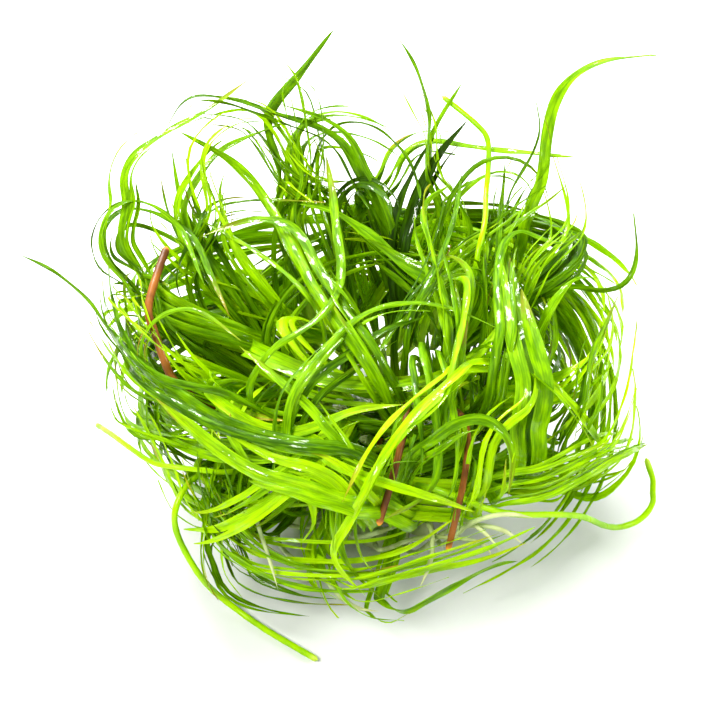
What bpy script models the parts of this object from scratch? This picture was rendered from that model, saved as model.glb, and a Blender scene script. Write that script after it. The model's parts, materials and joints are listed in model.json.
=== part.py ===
"""Dwarf sagittaria: a washed, tissue-grown clump whose strap leaves circled inside a cup.

The clump is a nest 100 mm across and 50 mm tall. Leaves grow from crowns on a small root mat,
rise through the nest and run round its outside. Long leaves are pieces of their own, and the
short ones are one piece with the crown they grow from. Metres, +Z up, the front faces -Y.
"""

import itertools
import math
import random
from dataclasses import dataclass

import bpy
import numpy as np

MM = 0.001
SEED = 2

# The nest is a drum with rounded edges, and this many leaves deep below its outer surface.
NEST_RADIUS = 0.050
NEST_MIDDLE = 0.027
NEST_HALF_HEIGHT = 0.0275
NEST_ROUNDNESS = 4
STRAY_LIFT = 0.3

# The view that the leaves' places were read in: a square picture, this far from the nest.
VIEW_SIDE_PX = 720
VIEW_AIM = np.array((-0.0026, 0.0, 0.032))
VIEW_DISTANCE = 0.45
VIEW_ELEVATION = math.radians(38)
VIEW_LENS = 0.120
VIEW_SENSOR = 0.036

# Leaf build
LEAF_THICKNESS = 0.0005
BASE_THICKNESS = 0.0010
BASE_WIDTH = 0.0014
BASE_LENGTH = 0.014
TIP_SHARE = 0.25
KEEL_SHARE = 0.6
MOST_ROLL = math.radians(24)
MOST_TWIST = math.radians(22)
FULL_ROLL = 6.28
ROLL_RATE = (1, 4)
LEAST_TAPER = 0.02
STALK_TAPER = 0.25
STATION_LENGTH = 0.0145
EASE_STEP = 1.0 * MM
EASE_ROUNDS = 400
EASE_SPREAD = 5
LEAST_BEND = 5.5 * MM
RISE_POINTS = 9
RISE_START = 0.9
RISE_END = 0.7
RISE_LOOP = 0.5
RISE_ROUNDS = 12
RISE_DEPTH = 0.004
RISE_SHRINK = 0.95
RISE_LOWEST = 0.002
TURN_COST = 0.012
DOUBLING_COST = 0.016
STATION_TURN = math.radians(46)

# Clearances
GAP = 0.0003
FLOOR_CLEARANCE = 0.0008
SPHERE = 0.00049
SAMPLE_LENGTH = 0.0010
SAMPLE_WIDTH = 0.0008

SELF_REACH = 0.006
PAIR_MARGIN = 0.0006
CROSSING_LENGTH = 0.012
MOST_PUSH = 0.0004
OUTWARD_BIAS = 0.4
STIFFNESS = 0.035
RELAX_ROUNDS = 520

# Crowns
CROWN_SIDES = 8
CROWN_RADIUS = 0.0028
CROWN_NECK = 0.0016
CROWN_TOP = 0.0019
TIER_HEIGHT = 0.0030
CROWN_POINT = 0.0016
SHEATH = 0.0012
SHEATH_SWELL = 0.0007

# Root mat
MAT_CENTRE = (0.0, 0.005)
MAT_RADIUS = 0.0200
MAT_THICKNESS = 0.0035
MAT_SIDES = 26
ROOT_COLLAR = 0.0018
MAT_WAVES = ((3, 0.07, 0.4), (5, 0.06, 1.9), (8, 0.05, 0.2))


@dataclass(frozen=True)
class Colour:
    """A plain material: its colour, and how dull its surface is."""

    name: str
    rgb: tuple
    roughness: float


BRIGHT_GREEN = Colour("leaf_bright", (0.36, 0.62, 0.02), 0.35)
DARK_GREEN = Colour("leaf_dark", (0.05, 0.17, 0.01), 0.3)
CROWN_GREEN = Colour("crown_pale", (0.42, 0.55, 0.14), 0.45)
ROOT_WHITE = Colour("root_pale", (0.62, 0.66, 0.42), 0.6)
STALK_BROWN = Colour("stalk_brown", (0.36, 0.13, 0.06), 0.5)
RUNNER_GREEN = Colour("runner_green", (0.36, 0.62, 0.03), 0.4)


@dataclass(frozen=True)
class Leaf:
    """A leaf by where it is seen, from its base side to its tip.

    Widths and depths are millimetres. A depth is how far the leaf lies below the nest's outer
    surface, at its first and last seen place, and is negative outside.
    """

    name: str
    width: float
    seen_px: tuple
    depth: tuple = (1.0, 1.0)
    dark: bool = False
    roll: float = 0.0


@dataclass(frozen=True)
class Circle:
    """A family of leaves that run round inside the nest: lowest and highest values, in mm and degrees."""

    name: str
    count: int
    width: tuple
    depth: tuple
    height: tuple
    turn: tuple
    start_within: float


@dataclass(frozen=True)
class Crown:
    """A crown by where it stands on the root mat and how high its leaves start."""

    name: str
    x: float
    y: float
    height: float


@dataclass(frozen=True)
class Stalk:
    """A round runner or stalk by where it is seen, and its diameter in millimetres."""

    name: str
    width: float
    seen_px: tuple
    depth: tuple
    colour: Colour = RUNNER_GREEN


CROWNS = (
    Crown("crown_middle", 0.0, 4.0, 11.0),
    Crown("crown_front", -1.0, -9.0, 8.0),
    Crown("crown_front_left", -11.0, -6.0, 10.0),
    Crown("crown_front_right", 10.5, -6.0, 10.0),
    Crown("crown_left", -14.5, 5.0, 15.0),
    Crown("crown_right", 14.5, 4.0, 15.0),
    Crown("crown_back_left", -9.5, 15.5, 22.0),
    Crown("crown_back", 2.0, 20.0, 17.0),
    Crown("crown_back_right", 10.5, 14.5, 23.0),
)

LONG_LEAVES = (
    Leaf(
        "leaf_left_arch", 1.8,
        ((112, 244), (127, 212), (121, 185), (132, 160), (160, 139), (205, 115), (252, 80)),
        (0, -3),
    ),
    Leaf(
        "leaf_left_loop", 1.2,
        ((106, 260), (106, 230), (120, 205), (150, 211), (190, 234), (208, 268), (230, 316)),
        (0, 1),
    ),
    Leaf(
        "leaf_back_arch", 2.4,
        ((350, 166), (330, 141), (275, 118), (235, 103), (195, 98), (174, 112), (168, 126)),
        (3, -4),
    ),
    Leaf("leaf_top_stray", 2.2, ((272, 112), (283, 95), (305, 68), (320, 48), (336, 27)), (2, -4)),
    Leaf(
        "leaf_long_inner", 2.0,
        ((352, 345), (325, 308), (300, 262), (264, 197), (238, 166), (210, 148), (182, 133)),
        (3, 0),
    ),
    Leaf(
        "leaf_back_left_arc", 1.8,
        ((183, 217), (190, 200), (208, 170), (222, 153), (245, 143), (287, 127)),
        (2, 1),
    ),
    Leaf(
        "leaf_dark_curl", 1.9,
        ((338, 300), (312, 262), (297, 225), (287, 202), (262, 206), (240, 222), (200, 238)),
        (1, 0), True,
    ),
    Leaf(
        "leaf_yellow_brown", 1.6,
        ((300, 288), (270, 261), (240, 243), (215, 229), (190, 216)),
        (3, 2),
    ),
    Leaf(
        "leaf_yellow_curve", 1.8,
        ((272, 346), (308, 328), (334, 300), (341, 276), (337, 240), (332, 195), (326, 157)),
        (0, 0),
    ),
    Leaf("leaf_back_rim", 1.7, ((298, 119), (325, 112), (350, 112), (375, 120), (397, 136)), (2, 0)),
    Leaf(
        "leaf_back_hook", 1.7,
        ((320, 116), (360, 121), (388, 138), (407, 160), (417, 185), (420, 202)),
        (3, 2),
    ),
    Leaf("leaf_dark_back", 1.6, ((352, 146), (370, 165), (385, 190), (393, 218)), (4, 3), True),
    Leaf("leaf_top_spike", 1.6, ((430, 137), (427, 110), (419, 80), (410, 57), (396, 37)), (1, -3)),
    Leaf(
        "leaf_top_hook", 1.6,
        ((449, 184), (430, 174), (417, 157), (430, 135), (447, 107), (462, 83)),
        (2, -3),
    ),
    Leaf("leaf_dark_broad", 2.4, ((432, 170), (440, 157), (455, 140), (470, 121)), (3, 0), True),
    Leaf(
        "leaf_back_band", 2.1,
        ((405, 143), (430, 134), (460, 139), (500, 145), (540, 148), (581, 153)),
        (4, 1),
    ),
    Leaf(
        "leaf_right_stray", 2.3,
        ((541, 192), (543, 172), (547, 143), (552, 112), (570, 82), (600, 64), (657, 56)),
        (2, -3),
    ),
    Leaf(
        "leaf_dark_loop", 1.8,
        (
            (497, 342), (496, 300), (499, 255), (507, 218), (518, 207),
            (530, 222), (545, 256), (559, 271), (571, 260), (580, 233),
        ),
        (1, 0), True,
    ),
    Leaf(
        "leaf_folded_top", 2.0,
        ((451, 330), (443, 285), (433, 250), (425, 222), (427, 200), (449, 184)),
        (2, 0), False, 20,
    ),
    Leaf(
        "leaf_broad_top", 3.3,
        ((432, 291), (410, 272), (390, 254), (370, 237), (350, 222), (328, 210), (298, 204)),
        (12, 1),
    ),
    Leaf(
        "leaf_left_stray", 1.6,
        ((190, 395), (158, 385), (130, 360), (107, 330), (86, 300), (48, 269), (12, 252)),
        (1, -2),
    ),
    Leaf(
        "leaf_left_wall", 2.3,
        (
            (318, 446), (280, 440), (230, 425), (185, 400),
            (150, 377), (126, 345), (112, 300), (108, 253),
        ),
        (1, 0), True,
    ),
    Leaf(
        "leaf_left_fold", 1.5,
        ((104, 264), (108, 252), (120, 247), (140, 262), (160, 278), (171, 286)),
        (0, 1),
    ),
    Leaf(
        "leaf_left_lit_loop", 1.1,
        ((131, 357), (137, 325), (150, 303), (172, 295), (192, 303), (214, 321), (240, 340)),
        (0, 1),
    ),
    Leaf(
        "leaf_front_left", 2.5,
        (
            (352, 503), (335, 497), (295, 482), (255, 472),
            (228, 456), (205, 440), (175, 413), (145, 385),
        ),
        (0, 0),
    ),
    Leaf(
        "leaf_lit_arch", 1.4,
        (
            (283, 421), (300, 380), (330, 345), (360, 317),
            (392, 305), (430, 304), (460, 311), (498, 328),
        ),
        (0, 1),
    ),
    Leaf(
        "leaf_dark_arch", 1.7,
        ((298, 395), (320, 372), (345, 355), (385, 328), (420, 318)),
        (3, 4), True,
    ),
    Leaf("leaf_diagonal", 1.8, ((325, 424), (305, 400), (285, 383), (262, 366), (240, 345)), (2, 2)),
    Leaf(
        "leaf_tall_yellow", 1.4,
        ((463, 268), (466, 290), (460, 330), (450, 370), (443, 400), (420, 423), (384, 443)),
        (-1, 0), False, 25,
    ),
    Leaf(
        "leaf_folded_lit", 2.0,
        ((455, 377), (462, 345), (471, 300), (481, 262), (481, 237), (460, 234), (430, 258)),
        (2, 1),
    ),
    Leaf(
        "leaf_broad_right", 4.3,
        ((531, 392), (520, 352), (513, 320), (508, 290), (505, 265), (503, 240)),
        (1, 1),
    ),
    Leaf(
        "leaf_right_front", 2.1,
        ((545, 380), (560, 395), (575, 410), (600, 445), (610, 460)),
        (2, 2), True,
    ),
    Leaf(
        "leaf_bright_arch", 2.0,
        ((440, 436), (460, 418), (485, 403), (503, 409), (514, 432), (513, 460), (508, 497)),
        (0, 0),
    ),
    Leaf(
        "leaf_dark_vertical", 1.9,
        ((424, 358), (430, 395), (436, 440), (432, 482), (410, 503), (380, 517)),
        (2, 2), True,
    ),
    Leaf(
        "leaf_long_diagonal", 1.8,
        (
            (455, 380), (430, 400), (405, 425), (382, 455), (363, 490),
            (345, 525), (331, 545), (342, 570), (365, 592),
        ),
        (0, 0),
    ),
    Leaf("leaf_front_shelf", 1.8, ((333, 463), (370, 477), (410, 490), (455, 503), (475, 511)), (1, 1)),
    Leaf("leaf_front_lit", 2.2, ((357, 503), (345, 486), (320, 470), (275, 458), (230, 435)), (2, 1)),
    Leaf(
        "leaf_dark_smile", 2.0,
        ((225, 404), (262, 427), (305, 433), (335, 420), (370, 409), (407, 406)),
        (6, 4), True,
    ),
    Leaf(
        "leaf_front_rim_right", 2.0,
        ((400, 617), (430, 598), (470, 577), (500, 563), (518, 561)),
        (0, 1),
    ),
    Leaf("leaf_ring_low", 1.5, ((212, 533), (240, 560), (275, 580), (320, 592), (380, 594)), (0, 1)),
    Leaf(
        "leaf_ring_middle", 1.4,
        ((232, 528), (265, 556), (300, 569), (350, 576), (400, 570), (445, 556), (510, 530)),
        (2, 2),
    ),
    Leaf("leaf_right_rim", 1.8, ((605, 441), (612, 425), (626, 385), (632, 350), (636, 318)), (0, 0)),
    Leaf(
        "leaf_right_hook", 1.2,
        ((617, 298), (624, 312), (636, 321), (645, 309), (641, 272), (635, 238), (633, 214)),
        (0, -1),
    ),
)

SHORT_LEAVES = (
    Leaf("left_tip", 1.1, ((109, 193), (127, 200), (153, 205)), (0, 0)),
    Leaf("back_strand", 1.1, ((250, 115), (210, 110), (178, 107)), (2, 0)),
    Leaf("thin_curl", 0.9, ((244, 90), (232, 107), (212, 121), (190, 117), (178, 127)), (-1, 0)),
    Leaf("top_thread", 0.9, ((300, 118), (299, 98), (298, 82), (273, 67)), (1, -2)),
    Leaf("left_upright", 1.3, ((185, 217), (178, 190), (175, 172), (170, 143)), (2, 0)),
    Leaf("upper_left_arc", 1.3, ((197, 168), (212, 148), (237, 128), (266, 124)), (1, 1)),
    Leaf("upper_left_riser", 1.1, ((227, 222), (220, 190), (228, 165)), (2, 1)),
    Leaf("upper_left_band", 1.3, ((198, 212), (225, 204), (265, 200), (325, 202)), (2, 2)),
    Leaf("top_bud", 1.1, ((287, 180), (305, 198), (318, 206)), (1, 1)),
    Leaf("top_sliver", 1.0, ((302, 140), (318, 168), (336, 189)), (1, 1)),
    Leaf("back_thin", 1.0, ((300, 126), (335, 128), (375, 138), (409, 161)), (4, 3)),
    Leaf("dark_back_inner", 1.5, ((350, 155), (364, 178), (371, 207)), (5, 5), True),
    Leaf("spike_small", 0.8, ((426, 132), (410, 108), (402, 88)), (1, -2)),
    Leaf("stray_small", 0.8, ((545, 132), (541, 116), (540, 102)), (0, -1)),
    Leaf(
        "right_brown_thread", 0.8,
        ((550, 248), (563, 235), (568, 212), (560, 185), (552, 155)),
        (1, 0),
    ),
    Leaf("right_upright", 1.3, ((495, 252), (498, 220), (502, 190), (503, 161)), (3, 1)),
    Leaf("right_arc", 1.1, ((463, 191), (482, 173), (505, 165), (527, 178), (537, 216)), (2, 2)),
    Leaf("right_spur", 0.9, ((514, 209), (516, 192), (539, 168)), (1, 0)),
    Leaf("right_spur_low", 1.0, ((526, 213), (545, 203), (568, 183)), (0, -2)),
    Leaf(
        "yellow_brown_thin", 1.2,
        ((420, 296), (430, 280), (444, 250), (456, 210), (461, 178)),
        (0, 0),
    ),
    Leaf("left_yellow_low", 1.1, ((143, 381), (130, 368), (110, 345), (92, 318)), (0, -1)),
    Leaf("left_thread", 0.8, ((109, 321), (104, 295), (101, 264)), (1, 0)),
    Leaf("left_wall_inner", 1.2, ((141, 319), (137, 303), (126, 282), (112, 258)), (2, 1)),
    Leaf("left_lit_low", 0.9, ((112, 297), (133, 320), (150, 340), (167, 352)), (1, 1)),
    Leaf("left_low_riser", 1.3, ((131, 424), (117, 411), (115, 385), (118, 355)), (1, 1)),
    Leaf("left_wall_low", 1.6, ((184, 512), (155, 450), (128, 400)), (2, 1), True),
    Leaf("front_curl", 1.5, ((252, 474), (279, 490), (281, 505), (260, 521)), (1, 1)),
    Leaf("front_curl_low", 1.5, ((307, 494), (318, 515), (302, 539)), (2, 2)),
    Leaf("dark_fold", 1.5, ((466, 268), (445, 275), (425, 292), (395, 325), (373, 357)), (3, 4), True),
    Leaf(
        "right_front_curve", 1.6,
        ((489, 497), (493, 455), (508, 430), (530, 412), (537, 385), (533, 363)),
        (1, 1),
    ),
    Leaf("inner_lit", 1.1, ((338, 530), (340, 548), (350, 570), (378, 598)), (2, 1)),
    Leaf("rim_loop", 1.0, ((350, 469), (334, 452), (345, 442), (400, 451), (427, 459)), (1, 1)),
    Leaf("front_cut_band", 2.0, ((266, 502), (245, 515), (215, 528), (184, 528)), (1, 0)),
    Leaf("front_left_riser", 1.2, ((219, 520), (203, 485), (200, 450)), (1, 2)),
    Leaf("front_left_riser_low", 1.2, ((240, 517), (234, 490), (224, 460)), (2, 2)),
    Leaf("ring_bright", 1.2, ((248, 553), (300, 562), (360, 562), (402, 553), (457, 519)), (3, 3)),
    Leaf("ring_right", 1.4, ((350, 590), (400, 575), (450, 557), (500, 540), (532, 524)), (1, 1)),
    Leaf("ring_lowest", 1.2, ((345, 602), (375, 618), (404, 620)), (0, 0)),
    Leaf("ring_left", 1.2, ((235, 581), (275, 597), (320, 603), (352, 603)), (1, 1)),
    Leaf("front_left_foot", 1.2, ((218, 545), (224, 575), (248, 605)), (1, 0)),
    Leaf("right_blunt", 1.4, ((540, 482), (580, 460), (605, 447), (636, 439)), (1, 0)),
    Leaf("right_wall", 1.6, ((622, 457), (634, 395), (631, 368)), (1, 1)),
    Leaf("right_wall_inner", 1.6, ((592, 412), (592, 370), (605, 335), (619, 299)), (1, 1)),
    Leaf("right_wall_upper", 1.6, ((608, 352), (613, 312), (604, 279)), (2, 2)),
    Leaf("right_grey_arch", 1.3, ((565, 286), (575, 271), (590, 270), (598, 278)), (0, 0)),
)

STALKS = (
    Stalk(
        "runner_right", 1.3,
        ((480, 510), (520, 518), (575, 517), (625, 528), (657, 510), (655, 485), (646, 458)),
        (3, 0),
    ),
    Stalk(
        "runner_front", 1.3,
        ((178, 505), (184, 540), (200, 572), (228, 603), (262, 627), (300, 650), (318, 660)),
        (0, -2),
    ),
    Stalk("runner_left", 1.1, ((165, 467), (145, 458), (122, 441), (98, 425)), (1, -1)),
    Stalk("stalk_left", 1.7, ((146, 318), (147, 305), (155, 278), (166, 247)), (1, -1), STALK_BROWN),
    Stalk(
        "stalk_back", 1.2,
        ((484, 232), (486, 195), (489, 150), (487, 130), (470, 120), (441, 95)),
        (2, -2),
    ),
)

STUBS = (
    Stalk("stub_front", 1.4, ((392, 482), (388, 496), (379, 526)), (4, 3), STALK_BROWN),
    Stalk("stub_front_right", 1.3, ((462, 500), (457, 520), (449, 551)), (3, 2), STALK_BROWN),
)

ROOTS = (
    Stalk("root_right_far", 1.1, ((505, 505), (523, 497), (531, 512)), (1, 0)),
    Stalk("root_right_low", 1.1, ((515, 520), (532, 525), (520, 543)), (1, 0)),
    Stalk("root_right_middle", 1.0, ((495, 530), (508, 535), (501, 553)), (1, 0)),
    Stalk("root_right_near", 1.0, ((480, 540), (493, 545), (497, 557)), (3, 2)),
    Stalk("root_front", 1.1, ((435, 553), (430, 565), (418, 588)), (1, 0)),
    Stalk("root_front_left", 1.0, ((262, 545), (270, 560), (278, 590)), (1, 0)),
    Stalk("root_front_low", 1.0, ((340, 600), (356, 615), (380, 612)), (1, 0)),
)

# Leaves that no view from the front shows in full: some circle the back and sides, some cross the inside
CIRCLES = (
    Circle("outer", 15, (1.5, 2.4), (1.0, 12.0), (6.0, 46.0), (60, 120), 180),
    Circle("inner", 14, (1.6, 2.6), (12.0, 33.0), (20.0, 47.0), (80, 150), 360),
)
CIRCLE_POINTS = 6


def unit(vectors):
    """Vectors made one long, along the last axis."""
    length = np.linalg.norm(vectors, axis=-1, keepdims=True)
    return vectors / np.maximum(length, 1e-12)


def nest_measure(points, depth, height_counts=1.0):
    """1 on the surface that lies this deep in the nest, less inside it and more outside."""
    across = np.hypot(points[:, 0], points[:, 1]) / (NEST_RADIUS - depth)
    upright = np.abs(points[:, 2] - NEST_MIDDLE) / (NEST_HALF_HEIGHT - 0.8 * depth)
    return across**NEST_ROUNDNESS + height_counts * upright**NEST_ROUNDNESS


def outward(points):
    """The way out of the nest at each point."""
    power = NEST_ROUNDNESS - 1
    across = np.hypot(points[:, 0], points[:, 1])
    slope = np.maximum(across, 1e-9) / NEST_RADIUS
    out = np.empty_like(points)
    out[:, :2] = points[:, :2] / np.maximum(across, 1e-9)[:, None]
    out[:, :2] *= (slope**power / NEST_RADIUS)[:, None]
    rise = (points[:, 2] - NEST_MIDDLE) / NEST_HALF_HEIGHT
    out[:, 2] = np.sign(rise) * np.abs(rise) ** power / NEST_HALF_HEIGHT
    return unit(out)


def seen_point(pixel, depth):
    """The place in the nest that a pixel of the view shows, at a depth below its surface."""
    forward = np.array((0.0, math.cos(VIEW_ELEVATION), -math.sin(VIEW_ELEVATION)))
    upward = np.array((0.0, math.sin(VIEW_ELEVATION), math.cos(VIEW_ELEVATION)))
    per_px = VIEW_SENSOR / VIEW_LENS / VIEW_SIDE_PX
    middle = VIEW_SIDE_PX / 2
    ray = forward + (middle - pixel[1]) * per_px * upward
    ray[0] += (pixel[0] - middle) * per_px
    reach = np.linspace(VIEW_DISTANCE - 0.13, VIEW_DISTANCE + 0.13, 1301)
    points = VIEW_AIM - VIEW_DISTANCE * forward + reach[:, None] * ray
    points = points[points[:, 2] > FLOOR_CLEARANCE]
    inside = np.flatnonzero(nest_measure(points, depth) <= 1)
    if len(inside):
        return points[inside[0]]
    return points[np.argmin(nest_measure(points, depth, STRAY_LIFT))]


def seen_route(seen_px, depth):
    """The places of a strand from its pixels, its depth going evenly from first to last."""
    depths = np.linspace(depth[0], depth[1], len(seen_px)) * MM
    return np.array([seen_point(np.array(pixel, float), d) for pixel, d in zip(seen_px, depths)])


def smooth_curve(points, steps=12):
    """A curve through the points, with even pace between near and far ones."""
    points = np.vstack((2 * points[0] - points[1], points, 2 * points[-1] - points[-2]))
    knots = np.concatenate(([0], np.cumsum(np.sqrt(np.linalg.norm(np.diff(points, axis=0), axis=1)))))
    curve = []
    for i in range(1, len(points) - 2):
        k0, k1, k2, k3 = knots[i - 1 : i + 3]
        p0, p1, p2, p3 = points[i - 1 : i + 3]
        t = np.linspace(k1, k2, steps, endpoint=False)[:, None]
        a1 = (k1 - t) / (k1 - k0) * p0 + (t - k0) / (k1 - k0) * p1
        a2 = (k2 - t) / (k2 - k1) * p1 + (t - k1) / (k2 - k1) * p2
        a3 = (k3 - t) / (k3 - k2) * p2 + (t - k2) / (k3 - k2) * p3
        b1 = (k2 - t) / (k2 - k0) * a1 + (t - k0) / (k2 - k0) * a2
        b2 = (k3 - t) / (k3 - k1) * a2 + (t - k1) / (k3 - k1) * a3
        curve.append((k2 - t) / (k2 - k1) * b1 + (t - k1) / (k2 - k1) * b2)
    return np.vstack(curve + [points[-2:-1]])


def evenly(curve, step):
    """The curve's points spread evenly, about this far apart."""
    travelled = np.concatenate(([0], np.cumsum(np.linalg.norm(np.diff(curve, axis=0), axis=1))))
    wanted = np.linspace(0, travelled[-1], max(8, math.ceil(travelled[-1] / step)))
    return np.column_stack([np.interp(wanted, travelled, curve[:, axis]) for axis in range(3)])


def eased(curve):
    """The curve with kinks and bends tighter than a leaf takes smoothed out, its ends kept."""
    curve = evenly(curve, EASE_STEP)
    for _ in range(EASE_ROUNDS):
        pull = 0.25 * curve[:-2] - 0.5 * curve[1:-1] + 0.25 * curve[2:]
        stretch = np.linalg.norm(curve[2:] - curve[:-2], axis=1) / 2
        tight = np.linalg.norm(pull, axis=1) * 4 > stretch**2 / LEAST_BEND
        if not tight.any():
            break
        near = np.convolve(tight, np.ones(EASE_SPREAD), "same") > 0
        curve[1:-1][near] += pull[near]
    return evenly(curve, EASE_STEP)


def stations_along(curve):
    """Points along a curve, nearer each other where it bends, and each one's way on."""
    lengths = np.linalg.norm(np.diff(curve, axis=0), axis=1)
    headings = unit(np.diff(curve, axis=0))
    turns = np.arccos(np.clip((headings[1:] * headings[:-1]).sum(axis=1), -1, 1))
    effort = lengths / STATION_LENGTH
    effort[1:] += turns / STATION_TURN
    effort[np.cumsum(lengths) < BASE_LENGTH / 2] *= 1.5
    total = np.concatenate(([0], np.cumsum(effort)))
    count = max(4, math.ceil(total[-1]) + 1)
    wanted = np.linspace(0, total[-1], count)
    return np.column_stack([np.interp(wanted, total, curve[:, axis]) for axis in range(3)])


def headings_of(stations):
    """The way on at each station, halfway between the stretches before and after it."""
    stretches = unit(np.diff(stations, axis=0))
    middle = unit(stretches[1:] + stretches[:-1])
    return np.vstack((stretches[:1], middle, stretches[-1:]))


def carried_on(heads, start, wanted):
    """The way across at each station, carried on from the one before and turned a little to the wanted way."""
    sides = [unit(start - heads[0] * (start @ heads[0]))]
    for i in range(1, len(heads)):
        side = unit(sides[-1] - heads[i] * (sides[-1] @ heads[i]))
        if wanted is not None:
            facing = wanted[i] if wanted[i] @ side >= 0 else -wanted[i]
            turn = math.atan2(np.cross(side, facing) @ heads[i], side @ facing) / 2
            turn = max(-MOST_TWIST, min(MOST_TWIST, turn))
            side = side * math.cos(turn) + np.cross(heads[i], side) * math.sin(turn)
        sides.append(side)
    return np.array(sides)


def slot_places(crown):
    """Each place on a crown where a leaf can start: its side, tier, centre and way out."""
    base = np.array((crown.x, crown.y, crown.height)) * MM
    for tier in range(2):
        radius = CROWN_RADIUS if tier == 0 else (CROWN_RADIUS + CROWN_TOP) / 2
        lean = (0.85, 0.55) if tier == 0 else (0.5, 0.87)
        for side in range(CROWN_SIDES):
            angle = (side + 0.5) * math.tau / CROWN_SIDES
            out = np.array((math.cos(angle), math.sin(angle), 0.0))
            reach = radius * math.cos(math.pi / CROWN_SIDES)
            centre = base + out * reach + np.array((0, 0, (tier - 0.5) * TIER_HEIGHT))
            yield (crown.name, side, tier), centre, out * lean[0] + np.array((0, 0, lean[1]))


class Strand:
    """A leaf or stalk as stations with a width way, half widths and thicknesses."""

    def __init__(self, name, curve, colour, round_stem=False):
        """Lays the stations; the outline is set later."""
        self.name = name
        self.stations = stations_along(curve)
        self.colour = colour
        self.round_stem = round_stem
        self.slot = None
        self.fused = False
        self.home = None

    def shape_leaf(self, width, roll, rng, way):
        """Sets the width way and the outline of a strap leaf that leaves its crown this way."""
        heads = headings_of(self.stations)
        flat = unit(np.cross(outward(self.stations), heads))
        sides = carried_on(heads, np.cross((way[0], way[1], 0.0), (0.0, 0.0, 1.0)), flat)
        normals = unit(np.cross(heads, sides))
        along = self.lengths()
        share = along / along[-1]
        twist = math.radians(roll) + MOST_ROLL * np.sin(rng.uniform(0, FULL_ROLL) + share * rng.uniform(*ROLL_RATE))
        grown = np.clip(along / BASE_LENGTH, 0, 1)
        twist *= grown
        self.sides = sides * np.cos(twist)[:, None] + normals * np.sin(twist)[:, None]
        self.half = (BASE_WIDTH + (width - BASE_WIDTH) * grown) / 2
        taper = np.clip((1 - share) / TIP_SHARE, 0, 1)
        self.half = self.half * np.sqrt(np.maximum(taper, LEAST_TAPER))
        self.thick = BASE_THICKNESS + (LEAF_THICKNESS - BASE_THICKNESS) * grown
        self.keel = rng.choice((-1, 1))

    def shape_stalk(self, width):
        """Sets the outline of a round stalk, which narrows a little."""
        heads = headings_of(self.stations)
        level = np.cross(heads[0], (0.0, 0.0, 1.0))
        self.sides = carried_on(heads, level, None)
        share = self.lengths() / self.lengths()[-1]
        self.half = width / 2 * (1 - STALK_TAPER * share)
        self.thick = 2 * self.half
        self.keel = 0

    def lengths(self):
        """How far along each station is."""
        steps = np.linalg.norm(np.diff(self.stations, axis=0), axis=1)
        return np.concatenate(([0], np.cumsum(steps)))


def hidden_rise(start, way, first, heading):
    """The way that a leaf takes from its crown to where it comes into sight, kept in the nest."""
    reach = np.linalg.norm(first - start)
    t = np.linspace(0, 1, RISE_POINTS)[:-1, None]
    turned = 1 - unit(heading) @ unit(first - start)
    begin = unit(way) * reach * RISE_START
    end = unit(heading) * reach * (RISE_END + RISE_LOOP * turned)
    points = (2 * t**3 - 3 * t**2 + 1) * start + (t**3 - 2 * t**2 + t) * begin
    points += (3 * t**2 - 2 * t**3) * first + (t**3 - t**2) * end
    middle = np.array((0, 0, NEST_MIDDLE))
    for _ in range(RISE_ROUNDS):
        out = nest_measure(points, RISE_DEPTH) > 1
        out[0] = False
        points[out] = middle + (points[out] - middle) * RISE_SHRINK
    points[:, 2] = np.maximum(points[:, 2], RISE_LOWEST)
    return points


def take_slot(free, first, heading):
    """The free slot that suits a leaf best: near where it is first seen and facing that way."""
    def cost(item):
        """How badly a slot suits, in metres."""
        _, centre, way = item
        path = first - centre
        turned = 1 - unit(way) @ unit(path)
        doubled = 1 - unit(heading) @ unit(path)
        return np.linalg.norm(path) + TURN_COST * turned + DOUBLING_COST * doubled

    best = min(range(len(free)), key=lambda i: cost(free[i]))
    return free.pop(best)


def grown_leaf(leaf, free, rng):
    """A leaf from its crown, through the nest and along where it is seen."""
    seen = seen_route(leaf.seen_px, leaf.depth)
    heading = seen[1] - seen[0]
    key, centre, way = take_slot(free, seen[0], heading)
    start = centre + unit(way) * GAP * 2
    route = np.vstack((hidden_rise(start, way, seen[0], heading), seen))
    curve = eased(smooth_curve(route))
    colour = DARK_GREEN if leaf.dark else BRIGHT_GREEN
    strand = Strand(leaf.name, curve, colour)
    strand.shape_leaf(leaf.width * MM, leaf.roll, rng, way)
    strand.slot = key
    return strand


def circling_leaf(circle, index, free, rng):
    """A leaf that runs round inside the nest; every other one of a family starts where its limit says."""
    start = math.radians(rng.uniform(0, circle.start_within if index % 2 else 360))
    turn = math.radians(rng.uniform(*circle.turn)) * rng.choice((-1, 1))
    depth = rng.uniform(*circle.depth) * MM
    low, high = (rng.uniform(*circle.height) * MM for _ in range(2))
    points = []
    for i in range(CIRCLE_POINTS):
        share = i / (CIRCLE_POINTS - 1)
        angle = start + turn * share
        height = low + (high - low) * share
        lean = (abs(height - NEST_MIDDLE) / NEST_HALF_HEIGHT) ** NEST_ROUNDNESS
        radius = (NEST_RADIUS - depth) * (1 - lean) ** (1 / NEST_ROUNDNESS)
        points.append((radius * math.cos(angle), radius * math.sin(angle), height))
    seen = np.array(points)
    heading = seen[1] - seen[0]
    key, centre, way = take_slot(free, seen[0], heading)
    route = np.vstack((hidden_rise(centre + unit(way) * GAP * 2, way, seen[0], heading), seen))
    strand = Strand(f"{circle.name}_{index}", eased(smooth_curve(route)), BRIGHT_GREEN)
    strand.shape_leaf(rng.uniform(*circle.width) * MM, 0, rng, way)
    strand.slot = key
    return strand


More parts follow.
